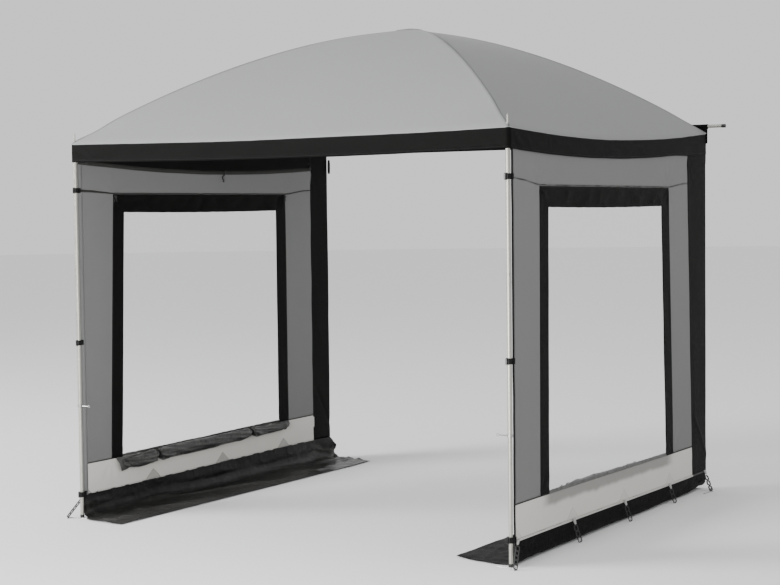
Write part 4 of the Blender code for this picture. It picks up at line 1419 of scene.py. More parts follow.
def lay_skirt(side, sign):
    """The mud skirt: down from the band, round a soft bend and in along the ground."""
    shape = bmesh.new()
    columns = 240
    add_grid(shape, [i / columns for i in range(columns + 1)], steps(0.008, 0.0, SKIRT_LONG),
             lambda share, down: skirt_point(side, sign, share, down), flip=sign > 0,
             uv=lambda a, b: (a * 2.39, b),
             marks={"shade": lambda share, down: skirt_shade(side, share, down)})
    shape.normal_update()
    if sum(face.normal.z for face in shape.faces) < 0:
        bmesh.ops.reverse_faces(shape, faces=shape.faces)
    skirt = cloth_piece(f"skirt_cloth_{side}", shape, SKIRT_FINISH[side], 0.0009,
                        stands_for=(f"mud_skirt_{side}",))
    skirt.data.materials.append(MATERIALS["black_cloth"])
    skirt.modifiers["Cloth thickness"].material_offset = 1


def blind_radius(back):
    """Half the roll's depth and half its height: fuller in front, drawn in by its ties."""
    start, end = BLIND_SPAN
    t = (back - start) / (end - start)
    pinch = sum(bell(back - tie, 0.022) for tie in BLIND_TIES)
    ends = (1 - smooth(back, start, start + 0.03)) + 0.8 * smooth(back, end - 0.05, end)
    slim = 1 - 0.22 * (1 - smooth(back, start, start + 0.20))
    deep = lerp(0.0270, 0.0215, t) * slim - 0.0045 * pinch - 0.006 * ends
    full = 0.0075 * bell(back - 1.02, 0.34)
    tall = lerp(0.0345, 0.0270, t) * slim + full - 0.0140 * pinch - 0.008 * ends
    return deep, tall + 0.0025 * ripple(back * 3.3, 2.2)


def blind_drop(back):
    """The roll sags between its ties."""
    start, end = BLIND_SPAN
    spans = ((start, BLIND_TIES[0]), BLIND_TIES, (BLIND_TIES[1], end))
    for low, high in spans:
        if low <= back <= high:
            t = (back - low) / (high - low)
            return 0.004 * 4 * t * (1 - t) + 0.012 * (1 - smooth(back, start, start + 0.24))
    return 0.0


def blind_centre(side, sign, back):
    x = BLIND_LIMIT - blind_radius(back)[0]
    z = BLIND_HEIGHT + 0.004 - blind_drop(back) + FOOT_TILT[side] * smooth(back, 0.1, 2.3)
    z += 0.007 * smooth(back, 0.55, 0.80)
    return Vector((sign * x, FRONT + back, z))


def blind_folds(sign, back, turn):
    """How far the rolled cloth stands out at a turn round the roll, and the painted shade there:
    darker in the hollows, lighter on the crests.
    """
    round_x, round_y = math.cos(turn) * 1.3, math.sin(turn) * 1.3
    long = ridge(back * 3.1 + round_x * 1.1, back * 2.2 + round_y * 2.0, sign * 3.0, 2)
    cross = ridge(back * 11 + round_y * 2.6, round_x * 2.0, sign * 5.0, 2)
    near = min(BLIND_TIES, key=lambda spot: abs(back - spot))
    tie = abs(back - near)
    lean = 3.0 * turn + 15 * (back - near) + 1.6 * ripple(back * 4, round_x, round_y)
    drawn = (1 - abs(math.sin(lean))) ** 1.4 * fade(tie, 0.24) * smooth(tie, 0, 0.03)
    from_edge = (turn - 1.9 - back * 0.25) % (2 * math.pi)
    step = smooth(from_edge, 0.0, 0.06) * (1 - smooth(from_edge, 2.4, 3.4))
    more = 0.0036 * long + 0.0016 * cross + 0.0090 * drawn + 0.0022 * step - 0.0060
    return more, 0.80 - 1.25 * drawn - 0.35 * long


def cap_roll(shape, row, inner, spots):
    """Closes an end of the roll with rings that step in and out, as rolled cloth does."""
    middle = sum((vert.co for vert in row), Vector()) / len(row)
    rings = [row]
    for shrink, deep in ((0.78, 0.0), (0.60, 1.0), (0.46, 0.2), (0.26, 1.0)):
        rings.append([shape.verts.new(middle + (vert.co - middle) * shrink
                                      + Vector((0, inner * deep, 0))) for vert in row])
        for vert, old in zip(rings[-1], row):
            spots[vert] = (spots[old][0], spots[old][1] * shrink)
    for one, two in zip(rings, rings[1:]):
        for k, corner in enumerate(one):
            n = (k + 1) % len(one)
            shape.faces.new((corner, one[n], two[n], two[k]))
    shape.faces.new(rings[-1])


def wrap_roll(shape, side, sign):
    """The cloth of a rolled blind with its two caps, and every corner's place on the cloth."""
    sides, rings = 40, 300
    shade = shape.verts.layers.float.new("shade")
    rows, spots = [], {}
    for j in range(rings + 1):
        back = lerp(*BLIND_SPAN, j / rings)
        deep, tall = blind_radius(back)
        centre = blind_centre(side, sign, back)
        row = []
        for k in range(sides):
            turn = 2 * math.pi * k / sides
            more, fold_shade = blind_folds(sign, back, turn)
            vert = shape.verts.new(centre + Vector((-sign * (deep + more) * math.cos(turn), 0,
                                                    (tall + more) * math.sin(turn))))
            # Each corner carries the painted shade and highlight of its fold to the material.
            vert[shade] = fold_shade
            spots[vert] = (back, turn * deep)
            row.append(vert)
        rows.append(row)
    for one, two in zip(rows, rows[1:]):
        for k, corner in enumerate(one):
            n = (k + 1) % sides
            shape.faces.new((corner, one[n], two[n], two[k]))
    cap_roll(shape, rows[0], 0.006, spots)
    cap_roll(shape, rows[-1], -0.006, spots)
    return spots


def roll_blind(side, sign):
    """The rolled blind: a cloth roll swollen between its ties, lying against the wall."""
    shape = bmesh.new()
    sewn = shape.loops.layers.uv.new("Cloth")
    spots = wrap_roll(shape, side, sign)
    tidy_normals(shape)
    for face in shape.faces:
        face.smooth = True
        for loop in face.loops:
            loop[sewn].uv = spots[loop.vert]
    mesh = mesh_of(f"blind_roll_{side}", shape)
    mesh = swell(mesh, side)
    for vert in mesh.vertices:
        if abs(vert.co.x) > BLIND_LIMIT:
            vert.co.x = math.copysign(BLIND_LIMIT, vert.co.x)
    roll = add_piece(f"blind_roll_{side}", mesh, "blind_cloth",
                     stands_for=(f"rolled_blind_{side}",))


def swell(mesh, side):
    """Lets the roll's cloth grow and settle between its ties, as a cloth simulation."""
    seed = bpy.data.objects.new("swell", mesh)
    bpy.context.scene.collection.objects.link(seed)
    hold_ties(seed, mesh)
    set_cloth(seed)
    scene = bpy.context.scene
    for number in range(1, SWELL_FRAMES + 1):
        scene.frame_set(number)
    graph = bpy.context.evaluated_depsgraph_get()
    result = bpy.data.meshes.new_from_object(seed.evaluated_get(graph))
    for before, after in zip(mesh.vertices, result.vertices):
        move = after.co - before.co
        if move.length > SWELL_MOST:
            after.co = before.co + move * (SWELL_MOST / move.length)
    bpy.data.objects.remove(seed)
    scene.frame_set(1)
    result.name = f"blind_roll_{side}"
    return result


def hold_ties(seed, mesh):
    """Holds the roll's cloth at its ties and ends, and where it touches the wall."""
    held = seed.vertex_groups.new(name="held")
    for vert in mesh.vertices:
        back = vert.co.y - FRONT
        grip = max(bell(back - tie, 0.010) for tie in BLIND_TIES)
        grip = max(grip, 1 - smooth(back, BLIND_SPAN[0], BLIND_SPAN[0] + 0.03))
        grip = max(grip, smooth(back, BLIND_SPAN[1] - 0.03, BLIND_SPAN[1]))
        against = smooth(abs(vert.co.x), BLIND_LIMIT - 0.010, BLIND_LIMIT - 0.002)
        held.add([vert.index], max(0.04, grip, 0.9 * against), "REPLACE")


def set_cloth(seed):
    """A light cloth that grows by a few hundredths, with a little air inside."""
    cloth = seed.modifiers.new("Cloth", "CLOTH")
    values = cloth.settings
    values.quality = 6
    values.mass = 0.15
    values.vertex_group_mass = "held"
    values.pin_stiffness = 1.0
    values.shrink_min = -0.06
    values.use_pressure = True
    values.uniform_pressure_force = 0.5
    values.effector_weights.gravity = 0.25
    values.bending_stiffness = 0.03
    values.tension_stiffness = 12
    values.compression_stiffness = 12
    cloth.collision_settings.use_collision = False
    cloth.point_cache.frame_end = 24


def tie_blind(side, sign):
    """Two straps round the roll, each with two hanging ends."""
    shape = bmesh.new()
    for tie in BLIND_TIES:
        centre = blind_centre(side, sign, tie)
        deep, tall = (value + 0.0016 for value in blind_radius(tie))
        half = Vector((0, 0.0065, 0))
        line = []
        for turn in steps(0.25, math.pi * 0.02, math.pi * 1.98):
            x = centre.x - sign * deep * math.cos(turn - math.pi)
            x = math.copysign(min(abs(x), BLIND_LIMIT + 0.0012), x)
            line.append((Vector((x, centre.y, centre.z + tall * math.sin(turn - math.pi))), half))
        add_ribbon(shape, line, rows=3)
        for lean in (-1, 1):
            tail = []
            for t in steps(0.125, 0.0, 1.0):
                inward = deep + 0.003 + 0.003 * math.sin(t * 2.4)
                tail.append((Vector((centre.x - sign * inward, centre.y + lean * 0.010 * t,
                                     centre.z - 0.002 - 0.022 * t)),
                             Vector((0, 0.005, 0.001 * lean))))
            add_ribbon(shape, tail, rows=3)
    ties = cloth_piece(f"blind_ties_{side}", shape, "webbing", 0.0012)


def hang_flap(side, sign):
    """The loose flap of the blind that hangs out at its front end."""
    def place(a, b):
        top = Vector((lerp(0.304, 0.600, a), 0.280))
        foot = Vector((lerp(0.338, 0.600, a), lerp(0.204, 0.246, smooth(a, 0.0, 0.8))))
        spot = top.lerp(foot, b)
        curl = 0.013 * math.sin(b * 2.6) * (1 - smooth(a, 0.1, 0.5))
        curl += 0.003 * ripple(a * 7, b * 4, 2)
        x = BLIND_LIMIT - 0.0015 - max(0.0, curl)
        return Vector((sign * x, FRONT + spot.x,
                       spot.y + FOOT_TILT[side] * smooth(spot.x, 0.1, 2.3)))

    shape = bmesh.new()
    add_grid(shape, steps(0.04, 0.0, 1.0), steps(0.08, 0.0, 1.0), place, flip=sign > 0,
             uv=lambda a, b: (a * 0.30, b * 0.07))
    flap = cloth_piece(f"blind_flap_{side}", shape, "blind_cloth", 0.0010)


# Edges, straps and the rear sleeve

def bind_edge(side, sign):
    """The front edge: a black binding folded round it, and a hem of wall cloth on the inner face,
    painted lighter as a highlight where the fold catches the light.
    """
    black, pale = bmesh.new(), bmesh.new()
    nose = [(-0.0022 * math.cos(t), 0.0312 - 0.0022 * math.sin(t))
            for t in steps(math.pi / 6, 0.0, math.pi)]
    fold = [(-0.0022, 0.036)] + nose + [(0.0022, 0.0405)]
    flat = [(-0.0032, 0.034), (-0.0036, 0.042), (-0.0030, 0.060), (-0.0020, 0.078)]
    heights = steps(0.014, BAND_FOOT - 0.002, 1.985)

    def place(table, spot, z):
        x, back = table[spot]
        wave = 0.0016 * ripple(z * 6, sign * 3.0) * (1 if back < 0.05 else 0.3)
        return Vector((sign * (WALL_MIDDLE + x + wave), FRONT + back + 0.6 * wave,
                       min(z, side_eave(FRONT + 0.035) - 0.006)))

    add_grid(black, list(range(len(fold))), heights, lambda a, b: place(fold, a, b), flip=sign > 0,
             uv=lambda a, b: (a * 0.005, b))
    # The hem is painted lighter than the wall cloth: a painted highlight on the lit fold.
    add_grid(pale, list(range(len(flat))), heights, lambda a, b: place(flat, a, b), flip=sign < 0,
             uv=lambda a, b: (a * 0.012, b), marks={"shade": lambda a, b: -0.22})
    edge = cloth_piece(f"edge_binding_{side}", black, "webbing", 0.0008)
    hem = cloth_piece(f"front_hem_{side}", pale, "wall_cloth", 0.0010)
    seam(f"edge_{side}", [place(fold, len(fold) - 1, z) + Vector((sign * 0.0007, -0.003, 0))
                          for z in steps(0.03, BAND_FOOT, 1.97)])


def strap_line(sign, bore):
    """A webbing loop in plan: from the wall round the tube and back to the wall."""
    reach = bore + 0.0012
    line = [(WALL_MIDDLE - 0.0040, FRONT + 0.062), (WALL_MIDDLE - 0.0042, FRONT + 0.046)]
    for turn in steps(math.pi / 14, math.pi * 0.58, math.pi * 2.42):
        line.append((LEG_X + reach * math.cos(turn), LEG_Y + reach * math.sin(turn)))
    line += [(WALL_MIDDLE + 0.0050, FRONT + 0.034), (WALL_MIDDLE + 0.0040, FRONT + 0.041)]
    return [(sign * x, y) for x, y in line]


def strap_places(side):
    """Each webbing loop's height, the radius that it clears and its play on the tube."""
    foot, middle, top = STRAP_HEIGHTS
    return ((foot, FOOT_RADIUS + FOOT_STRAP_PLAY, 0.0), (middle, TUBE_RADIUS, 0.0003),
            (top + STRAP_LIFT[side], TUBE_RADIUS, 0.0003))


def strap_legs(side, sign):
    """Three webbing loops that hold the wall to the leg."""
    shape = bmesh.new()
    for height, bore, play in strap_places(side):
        plan = strap_line(sign, bore + play)

        def place(spot, z, plan=plan, height=height):
            x, y = plan[spot]
            pinch = 1 - 0.02 * math.cos((z - height) / STRAP_TALL * math.pi)
            return Vector((sign * LEG_X + (x - sign * LEG_X) * pinch,
                           LEG_Y + (y - LEG_Y) * pinch, z))

        rows = steps(STRAP_TALL / 5, height - STRAP_TALL / 2, height + STRAP_TALL / 2)
        add_grid(shape, list(range(len(plan))), rows, place, flip=sign < 0,
                 uv=lambda a, b: (a * 0.0045, b))
    straps = cloth_piece(f"leg_straps_{side}", shape, "webbing", 0.0021, offset=1.0,
                         stands_for=(f"edge_tape_{side}",))


def fit_keepers(side, sign):
    """A rounded wire buckle with a middle bar on each loop."""
    shape = bmesh.new()
    half_wide, half_tall, wire = 0.0085, 0.0150, 0.0013
    for height, bore, _ in strap_places(side):
        x = LEG_X - 0.30 * bore
        y = LEG_Y - bore - 0.0052
        points = []
        for turn in once_round(math.pi / 8):
            wide = half_wide * math.copysign(abs(math.cos(turn)) ** 0.4, math.cos(turn))
            tall = half_tall * math.copysign(abs(math.sin(turn)) ** 0.4, math.sin(turn))
            points.append(Vector((sign * (x + wide), y + 0.0004 * abs(wide) / half_wide,
                                  height + tall)))
        add_wire(shape, points, wire, Y_WAY, closed=True)
        bar = [Vector((sign * x, y, height + end)) for end in (-0.014, 0.014)]
        add_wire(shape, bar, wire, Y_WAY)
    add_solid(f"strap_keepers_{side}", shape, "black_plastic")


def sew_sleeve():
    """The cloth behind the rear eave: two layers up from the hem and round the rear pole."""
    profile = [(REAR + 0.0022, FLAP_FOOT), (REAR + 0.0022, 2.02), (REAR + 0.0026, 2.05),
               (REAR + 0.0030, POLE_Z - 0.018)]
    for turn in steps(math.pi / 14, math.pi * 1.13, -math.pi * 0.42):
        profile.append((POLE_Y + SLEEVE_RADIUS * math.cos(turn),
                        POLE_Z + SLEEVE_RADIUS * math.sin(turn)))
    profile += [(REAR + 0.0070, POLE_Z - 0.018), (REAR + 0.0052, 2.05), (REAR + 0.0046, 2.02),
                (REAR + 0.0046, FLAP_FOOT + 0.004)]
    shape = bmesh.new()
    spots = list(range(len(profile)))

    def place(spot, x):
        y, z = profile[spot]
        pull = smooth(abs(x), 1.0, 1.3)
        fold = 0.0014 * ripple(x * 5, z * 12, 1.4) + 0.0010 * math.sin(x * 60 + z * 30) * pull
        grip = smooth(abs(z - POLE_Z), 0.012, 0.04)
        ruck = 0.0009 * ripple(x * 22, spot * 0.35, 5.0)
        if z > POLE_Z - 0.016:
            y += (y - POLE_Y) / SLEEVE_RADIUS * max(0.0, ruck + 0.0004)
            z += (z - POLE_Z) / SLEEVE_RADIUS * max(0.0, ruck + 0.0004)
        return Vector((x, max(REAR + 0.0012, y + fold * grip), z))

    add_grid(shape, spots, steps(0.018, -SLEEVE_HALF, SLEEVE_HALF), place,
             uv=lambda a, b: (b, a * 0.007))
    sleeve = cloth_piece("pole_sleeve", shape, "black_cloth", 0.0010,
                         stands_for=("rear_sleeve",))
    for z in (POLE_Z - 0.021, FLAP_FOOT + 0.008):
        seam("sleeve", [(x, REAR + 0.0085 if z > 2.05 else REAR + 0.0062, z)
                        for x in steps(0.03, -SLEEVE_HALF + 0.01, SLEEVE_HALF - 0.01)])


def sew_pocket(side, sign):
    """A rear corner pocket, with the end socket of its arched pole."""
    shape = bmesh.new()
    centre = Vector((sign * 1.2842, REAR - 0.018, 2.015))
    half = Vector((0.0178, 0.0178, 0.0300))
    widest = 1.3022
    cube = bmesh.ops.create_cube(shape, size=2)
    for vert in cube["verts"]:
        vert.co = centre + Vector([a * b for a, b in zip(vert.co, half)])
    bmesh.ops.subdivide_edges(shape, edges=shape.edges, cuts=5, use_grid_fill=True)
    for vert in shape.verts:
        off = vert.co - centre
        pinch = 1 - 0.13 * (off.z / half.z) ** 2 * smooth(abs(off.z) / half.z, 0.4, 1.0)
        vert.co.x = centre.x + off.x * pinch + 0.0008 * ripple(off.z * 70, off.y * 60, sign)
        vert.co.y = centre.y + off.y * pinch + 0.0008 * ripple(off.z * 70, off.x * 60, 5.0)
        vert.co.y = min(vert.co.y, REAR)
        if abs(vert.co.x) > widest:
            vert.co.x = sign * widest
    start, end = Vector((sign * 1.232, REAR - 0.058, 2.035)), centre
    along = (end - start).normalized()
    add_wire(shape, [start + (end - start) * t for t in (0.0, 0.1, 0.9, 1.0)], 0.0086,
             Z_WAY.cross(along).cross(along), sides=20)
    tidy_normals(shape)
    lay_uv(shape)
    for face in shape.faces:
        face.smooth = True
    pocket = add_piece(f"pole_pocket_{side}", mesh_of(f"pole_pocket_{side}", shape), "webbing",
                       stands_for=(f"corner_joint_rear_{side}",))
    bevel = pocket.modifiers.new("Soft edges", "BEVEL")
    bevel.width = 0.0016
    bevel.segments = 2
    bevel.limit_method = "ANGLE"


def sew_pockets():
    for side, sign in SIDES:
        sew_pocket(side, sign)


def sew_corner_loops():
    """A hanging loop of webbing under each end of the sleeve."""
    shape = bmesh.new()
    for _, sign in SIDES:
        line = []
        for t in steps(0.05, 0.0, 1.0):
            turn = 2 * math.pi * t
            y = REAR + 0.009 + 0.013 * math.sin(turn) * 0.45
            z = 1.962 - 0.045 * (1 - math.cos(turn))
            line.append((Vector((sign * 1.2960, y, z)), Vector((0.006, 0, 0))))
        add_ribbon(shape, line, rows=3)
    loops = cloth_piece("corner_loops", shape, "webbing", 0.0012)


# Small fittings

def add_bow(shape, centre):
    """Two crossed rings of cord with two hanging ends."""
    for spin, size in ((0.4, 0.0060), (1.9, 0.0055)):
        axis = Vector((math.cos(spin), math.sin(spin) * 0.6, 0.7)).normalized()
        across = axis.orthogonal().normalized()
        other = axis.cross(across)
        points = [centre + (across * math.cos(t) + other * math.sin(t)) * size
                  for t in once_round(math.pi / 8)]
        add_wire(shape, points, 0.0028, axis, closed=True)
    for lean in (-1, 1):
        points = [centre + Vector((0, lean * 0.012 * t, -0.030 * t)) for t in steps(0.25, 0, 1)]
        add_wire(shape, points, 0.0016, X_WAY, sides=6)


def hang_toggles(side, sign):
    """A twisted tie under the wall's top band, and knots at the window's and band's corners."""
    shape = bmesh.new()
    line = []
    for t in steps(0.04, 0.0, 1.0):
        sway = Vector((-sign * 0.004 * math.sin(t * 9), 0.010 * math.sin(t * 7.5) * t, 0))
        line.append(hang(side, 1.318 - 0.030 * t, 1.872 - 0.060 * t, -0.0095) + sway)
    add_wire(shape, line, 0.0044, X_WAY, taper=lambda t: 0.75 + 0.3 * abs(math.sin(t * 14)))
    for spot in (line[0], line[-1]):
        add_knot(shape, spot, 0.0055, 0.0062)
    for back, high in ((0.105, 1.903), (2.20, 1.905)):
        add_knot(shape, hang(side, back, high, -0.008), 0.0070, 0.0085)
    start, end, top = BORDER_OUTER
    for back in (start + 0.014, end - 0.014):
        add_bow(shape, hang(side, back, top - 0.012, -0.0085))
    add_solid(f"blind_knots_{side}", shape, "thread_dark")


def fit_leg(side, sign):
    """The eye of the leg's catch and the spring button of its joint."""
    shape = bmesh.new()
    eye = 0.0058
    centre = Vector((sign * CATCH_END, LEG_Y, CATCH_HEIGHT)) - Vector((sign * eye, 0, 0))
    points = [centre + Vector((eye * math.cos(t), 0, eye * math.sin(t)))
              for t in once_round(math.pi / 10)]
    add_wire(shape, points, 0.0014, Y_WAY, sides=10, closed=True)
    facing = Vector((sign * 0.5, -0.866, 0))
    spot = Vector((sign * LEG_X, LEG_Y, LEG_JOINT + 0.034)) + facing * (TUBE_RADIUS - 0.0012)
    button = [(0.0034, 0), (0.0034, 0.0026), (0.0028, 0.0034), (0.0014, 0.0038), (0.0003, 0.0039)]
    add_turned(shape, button, spot, sides=16, axis=facing)
    add_solid(f"leg_fittings_{side}", shape, "bright_steel")


def punch_holes(side, sign):
    """The row of adjuster holes in the lower tube, as dark rimmed discs: painted shade for the unlit
    inside of each hole.
    """
    shape = bmesh.new()
    facing = Vector((1, -0.35, 0)).normalized()
    rim = [(0.0026, -0.0006), (0.0026, 0.0001), (0.0021, 0.0002), (0.0020, -0.0004)]
    for number in range(22):
        spot = Vector((sign * LEG_X, LEG_Y, 0.475 + 0.0195 * number))
        add_turned(shape, rim, spot + facing * (LOWER_RADIUS - 0.0002), sides=12, axis=facing)
    # The black discs paint the shade inside the holes.
    add_solid(f"adjuster_holes_{side}", shape, "black_plastic", body=f"lower_leg_{side}")


def sew_hem_tape(side, sign):
    """The tape that the ladders hang from, dark where it crosses the strip at the van."""
    def place(back, z):
        point = hang(side, back, z, 0.0)
        return Vector((sign * (WALL_OUTER + 0.0012), point.y, point.z))

    def over_strip(back, z):
        return 0.965 * smooth(back, STRIP_START, STRIP_START + 0.01)

    shape = bmesh.new()
    add_grid(shape, steps(0.012, 0.055, 2.41), steps(0.003, BAND_FOOT - 0.005, BAND_FOOT + 0.004),
             place, flip=sign < 0, marks={"shade": over_strip})
    hem = cloth_piece(f"hem_tape_{side}", shape, "band_cloth", 0.0010,
                      stands_for=(f"peg_ladders_{side}",))
    seam(f"wall_{side}", [place(back, BAND_FOOT) + Vector((sign * 0.0008, 0, 0))
                          for back in steps(0.03, 0.06, 2.20)])


def add_loop(shape, sign, top, down):
    """A folded loop of webbing that hangs from the hem and holds a ladder's first link."""
    line = []
    for t in steps(0.06, 0.0, 1.0):
        turn = math.pi * t
        fall = 0.030 * math.sin(turn)
        off = 0.0022 * (1 - math.cos(turn))
        wide = 0.0125 - 0.0045 * math.sin(turn)
        line.append((top + Vector((sign * off, 0, 0.010)) + down * (fall + 0.004),
                     Vector((0, wide, 0))))
    add_ribbon(shape, line, rows=3)


def hang_ladders(side, sign):
    """The pegging ladders: a cloth loop, a chain of flat links and a rubber tip each."""
    loops, tips = bmesh.new(), bmesh.new()
    lines = []
    for back, end_back, out, seat in LADDERS:
        lift = FOOT_TILT[side] * smooth(back, 0.1, 2.3)
        top = Vector((sign * (WALL_OUTER + 0.0022), FRONT + back, BAND_FOOT + lift))
        end = Vector((sign * (HALF_WIDTH + out), FRONT + end_back, seat + 0.0048))
        down = (end - top).normalized()
        add_loop(loops, sign, top, down)
        first = top + down * 0.044 + Vector((sign * 0.0016, 0, 0))
        last = end - down * 0.011
        lines.append([first.lerp(last, t) for t in (0.0, 0.5, 1.0)])
        along = (last - first).normalized()
        add_wire(tips, [last + along * far for far in (0.002, 0.006, 0.010)], 0.0026, Y_WAY)
    web = cloth_piece(f"ladder_loops_{side}", loops, "grey_web", 0.0010)
    facing = (0.85, -0.50, 0.2) if sign > 0 else (-0.35, -0.90, 0.2)
    for tag, some, bar in (("", lines[:-1], 0.0052), ("_rear", lines[-1:], 0.0080)):
        grow(f"ladder_links{tag}_{side}", LINK_TREE, some, "grey_plastic",
             {"Spacing": 0.0235, "Long": 0.0275, "Wide": 0.0195, "Corner": 0.0060,
              "Bar width": bar, "Bar thickness": 0.0032, "Facing": facing})
    add_solid(f"ladder_tips_{side}", tips, "rubber")


def stitch_seams():
    """Sews every noted seam, one piece for each group of lines."""
    trim = bpy.context.scene.awning_trim
    thread = {"Spacing": trim.stitch_pitch, "Stitch length": trim.stitch_length,
              "Thread radius": trim.thread_radius, "Seed": trim.seed}
    zip_teeth = {"Spacing": 0.0045, "Stitch length": 0.0026, "Thread radius": 0.0022,
                 "Unevenness": 0.0}
    for name, lines in SEAMS.items():
        grow(f"stitches_{name}", STITCH_TREE, lines,
             "thread_grey" if name == "roof" else "thread_dark",
             zip_teeth if name.startswith("zip") else thread)


NODE_FINISHES = {
    "leg_upper": "steel_tube", "leg_middle": "steel_tube", "leg_lower": "steel_tube",
    "rear_pole_cap": "black_plastic", "rear_pole": "steel_tube", "arch_pole": "pole_rod",
    "crown_hub": "black_plastic", "corner_joint_front": "black_plastic",
    "foot_cap": "black_plastic", "leg_lock": "bright_steel", "peg_front": "bright_steel",
    "peg_rear": "bright_steel"}


def dress_frame():
    """Gives the frame's own solids their finishes."""
    for name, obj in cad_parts.items():
        for start, finish in NODE_FINISHES.items():
            if name.startswith(start):
                for slot in obj.material_slots:
                    slot.material = MATERIALS[finish]
                break


# The stage

def add_light(name, place, target, size, power):
    light = bpy.data.lights.new(name, "AREA")
    light.shape = "DISK"
    light.size = size
    light.energy = power
    obj = bpy.data.objects.new(name, light)
    bpy.context.scene.collection.objects.link(obj)
    obj.location = place
    aim = Vector(target) - Vector(place)
    obj.rotation_euler = aim.to_track_quat("-Z", "Y").to_euler()


def set_camera():
    """The photograph's viewpoint, from its measured yaw, pitch and roll."""
    stage = bpy.context.scene.awning_stage
    yaw, pitch, roll = stage.yaw, stage.pitch, stage.roll
    ahead = Vector((-math.sin(yaw) * math.cos(pitch), math.cos(yaw) * math.cos(pitch),
                    math.sin(pitch)))
    right = Vector((math.cos(yaw), math.sin(yaw), 0))
    up = right.cross(ahead)
    turned_right = right * math.cos(roll) + up * math.sin(roll)
    turned_up = up * math.cos(roll) - right * math.sin(roll)
    data = bpy.data.cameras.new("Photo camera")
    data.lens = stage.lens
    data.sensor_width = 36
    data.clip_end = 200
    camera = bpy.data.objects.new("Photo camera", data)
    bpy.context.scene.collection.objects.link(camera)
    turn = Matrix((turned_right, turned_up, -ahead)).transposed().to_4x4()
    camera.matrix_world = Matrix.Translation(stage.camera_place) @ turn
    bpy.context.scene.camera = camera


def lay_floor():
    """A wide pale floor with a faint unevenness in its paint."""
    mesh = bpy.data.meshes.new("floor")
    shape = bmesh.new()
    bmesh.ops.create_circle(shape, cap_ends=True, segments=96, radius=60)
    shape.to_mesh(mesh)
    shape.free()
    floor = bpy.data.objects.new("floor", mesh)
    bpy.context.scene.collection.objects.link(floor)
    tree, shader = new_material("floor_paint", Specular_IOR_Level=0.1, Roughness=0.9)
    spot = add_node(tree, "ShaderNodeTexCoord").outputs["Object"]
    value = maths(tree, "MULTIPLY", noise_value(tree, spot, 3.0), 0.01)
    paint = toned(tree, (*bpy.context.scene.awning_stage.floor_colour, 1),
                  maths(tree, "ADD", value, 0.995))
    tree.links.new(paint, shader.inputs["Base Color"])
    mesh.materials.append(MATERIALS["floor_paint"])


def light_studio():
    """An even white surround and two soft lamps."""
    stage = bpy.context.scene.awning_stage
    world = bpy.data.worlds.new("Studio")
    bpy.context.scene.world = world
    world.use_nodes = True
    back = world.node_tree.nodes["Background"]
    back.inputs["Color"].default_value = (1, 1, 1, 1)
    back.inputs["Strength"].default_value = stage.surround
    add_light("Key lamp", (-8.0, -7.5, 5.6), (0, 0, 1.2), 6.0, stage.key_power)
    add_light("Fill lamp", (1.1, -5.0, 1.0), (-1.2, 0, 0.9), 2.0, stage.fill_power)


# Properties, operators and panel

def colour_property(name, description, default):
    return FloatVectorProperty(name=name, description=description, default=default,
                               subtype="COLOR", size=3, min=0.0, max=1.0)


class AwningCloth(bpy.types.PropertyGroup):
    """Colours and weave of the cloths"""

    roof_colour: colour_property("Roof", "Dye of the roof cloth", (0.250, 0.252, 0.256))
    wall_colour: colour_property("Walls", "Dye of the side walls", (0.158, 0.161, 0.158))
    band_colour: colour_property("Bands", "Dye of the band under the windows",
                                 (0.60, 0.586, 0.552))
    black_colour: colour_property("Trim", "Dye of valance, border and skirt",
                                  (0.0035, 0.0035, 0.0033))
    threads: FloatProperty(name="Threads", description="Threads of the weave in a metre",
                           default=1100.0, min=100.0, max=4000.0)
    film_alpha: FloatProperty(name="Film", description="How much the clear window shows",
                              default=0.03, min=0.0, max=1.0, subtype="FACTOR")


class AwningTrim(bpy.types.PropertyGroup):
    """Sizes of the stitching"""

    stitch_pitch: FloatProperty(name="Stitch pitch", description="From stitch to stitch",
                                default=0.0075, min=0.001, unit="LENGTH")
    stitch_length: FloatProperty(name="Stitch length", description="Length of thread on show",
                                 default=0.0052, min=0.001, unit="LENGTH")
    thread_radius: FloatProperty(name="Thread radius", description="Half the thread's thickness",
                                 default=0.0004, min=0.0001, unit="LENGTH")
    seed: IntProperty(name="Seed", description="Fixes the stitches' unevenness", default=7)


class AwningStage(bpy.types.PropertyGroup):
    """The studio"""

    camera_place: FloatVectorProperty(name="Camera", description="Where the camera stands",
                                      default=(4.7403, -7.8141, 1.6272), subtype="TRANSLATION",
                                      unit="LENGTH", size=3)
    yaw: FloatProperty(name="Yaw", description="Turn to the left of the van's direction",
                       default=0.5520, subtype="ANGLE")
    pitch: FloatProperty(name="Pitch", description="Tilt upwards", default=-0.0496,
                         subtype="ANGLE")
    roll: FloatProperty(name="Roll", description="Roll to the left", default=-0.0114,
                        subtype="ANGLE")
    lens: FloatProperty(name="Lens", description="Focal length on a 36 mm frame",
                        default=76.25, min=10.0, subtype="DISTANCE_CAMERA")
    key_power: FloatProperty(name="Key lamp", description="Power of the lamp at front left",
                             default=1720.0, min=0.0, unit="POWER")
    fill_power: FloatProperty(name="Fill lamp", description="Power of the lamp in front",
                              default=150.0, min=0.0, unit="POWER")
    surround: FloatProperty(name="Surround", description="Brightness of the white surround",
                            default=0.95, min=0.0)
    floor_colour: colour_property("Floor", "Paint of the studio floor", (0.90, 0.90, 0.90))


class Steps:
    """Runs an operator's steps: those of the whole awning, then those of each side."""

    whole = ()
    each_side = ()

    def execute(self, context):
        for make in self.whole:
            make()
        for side, sign in SIDES:
            for make in self.each_side:
                make(side, sign)
        return {"FINISHED"}


class AWNING_OT_set_stage(Steps, bpy.types.Operator):
    """Set the floor, the lamps and the camera"""

    bl_idname = "awning.set_stage"
    bl_label = "Set Stage"
    whole = (set_camera, lay_floor, light_studio)


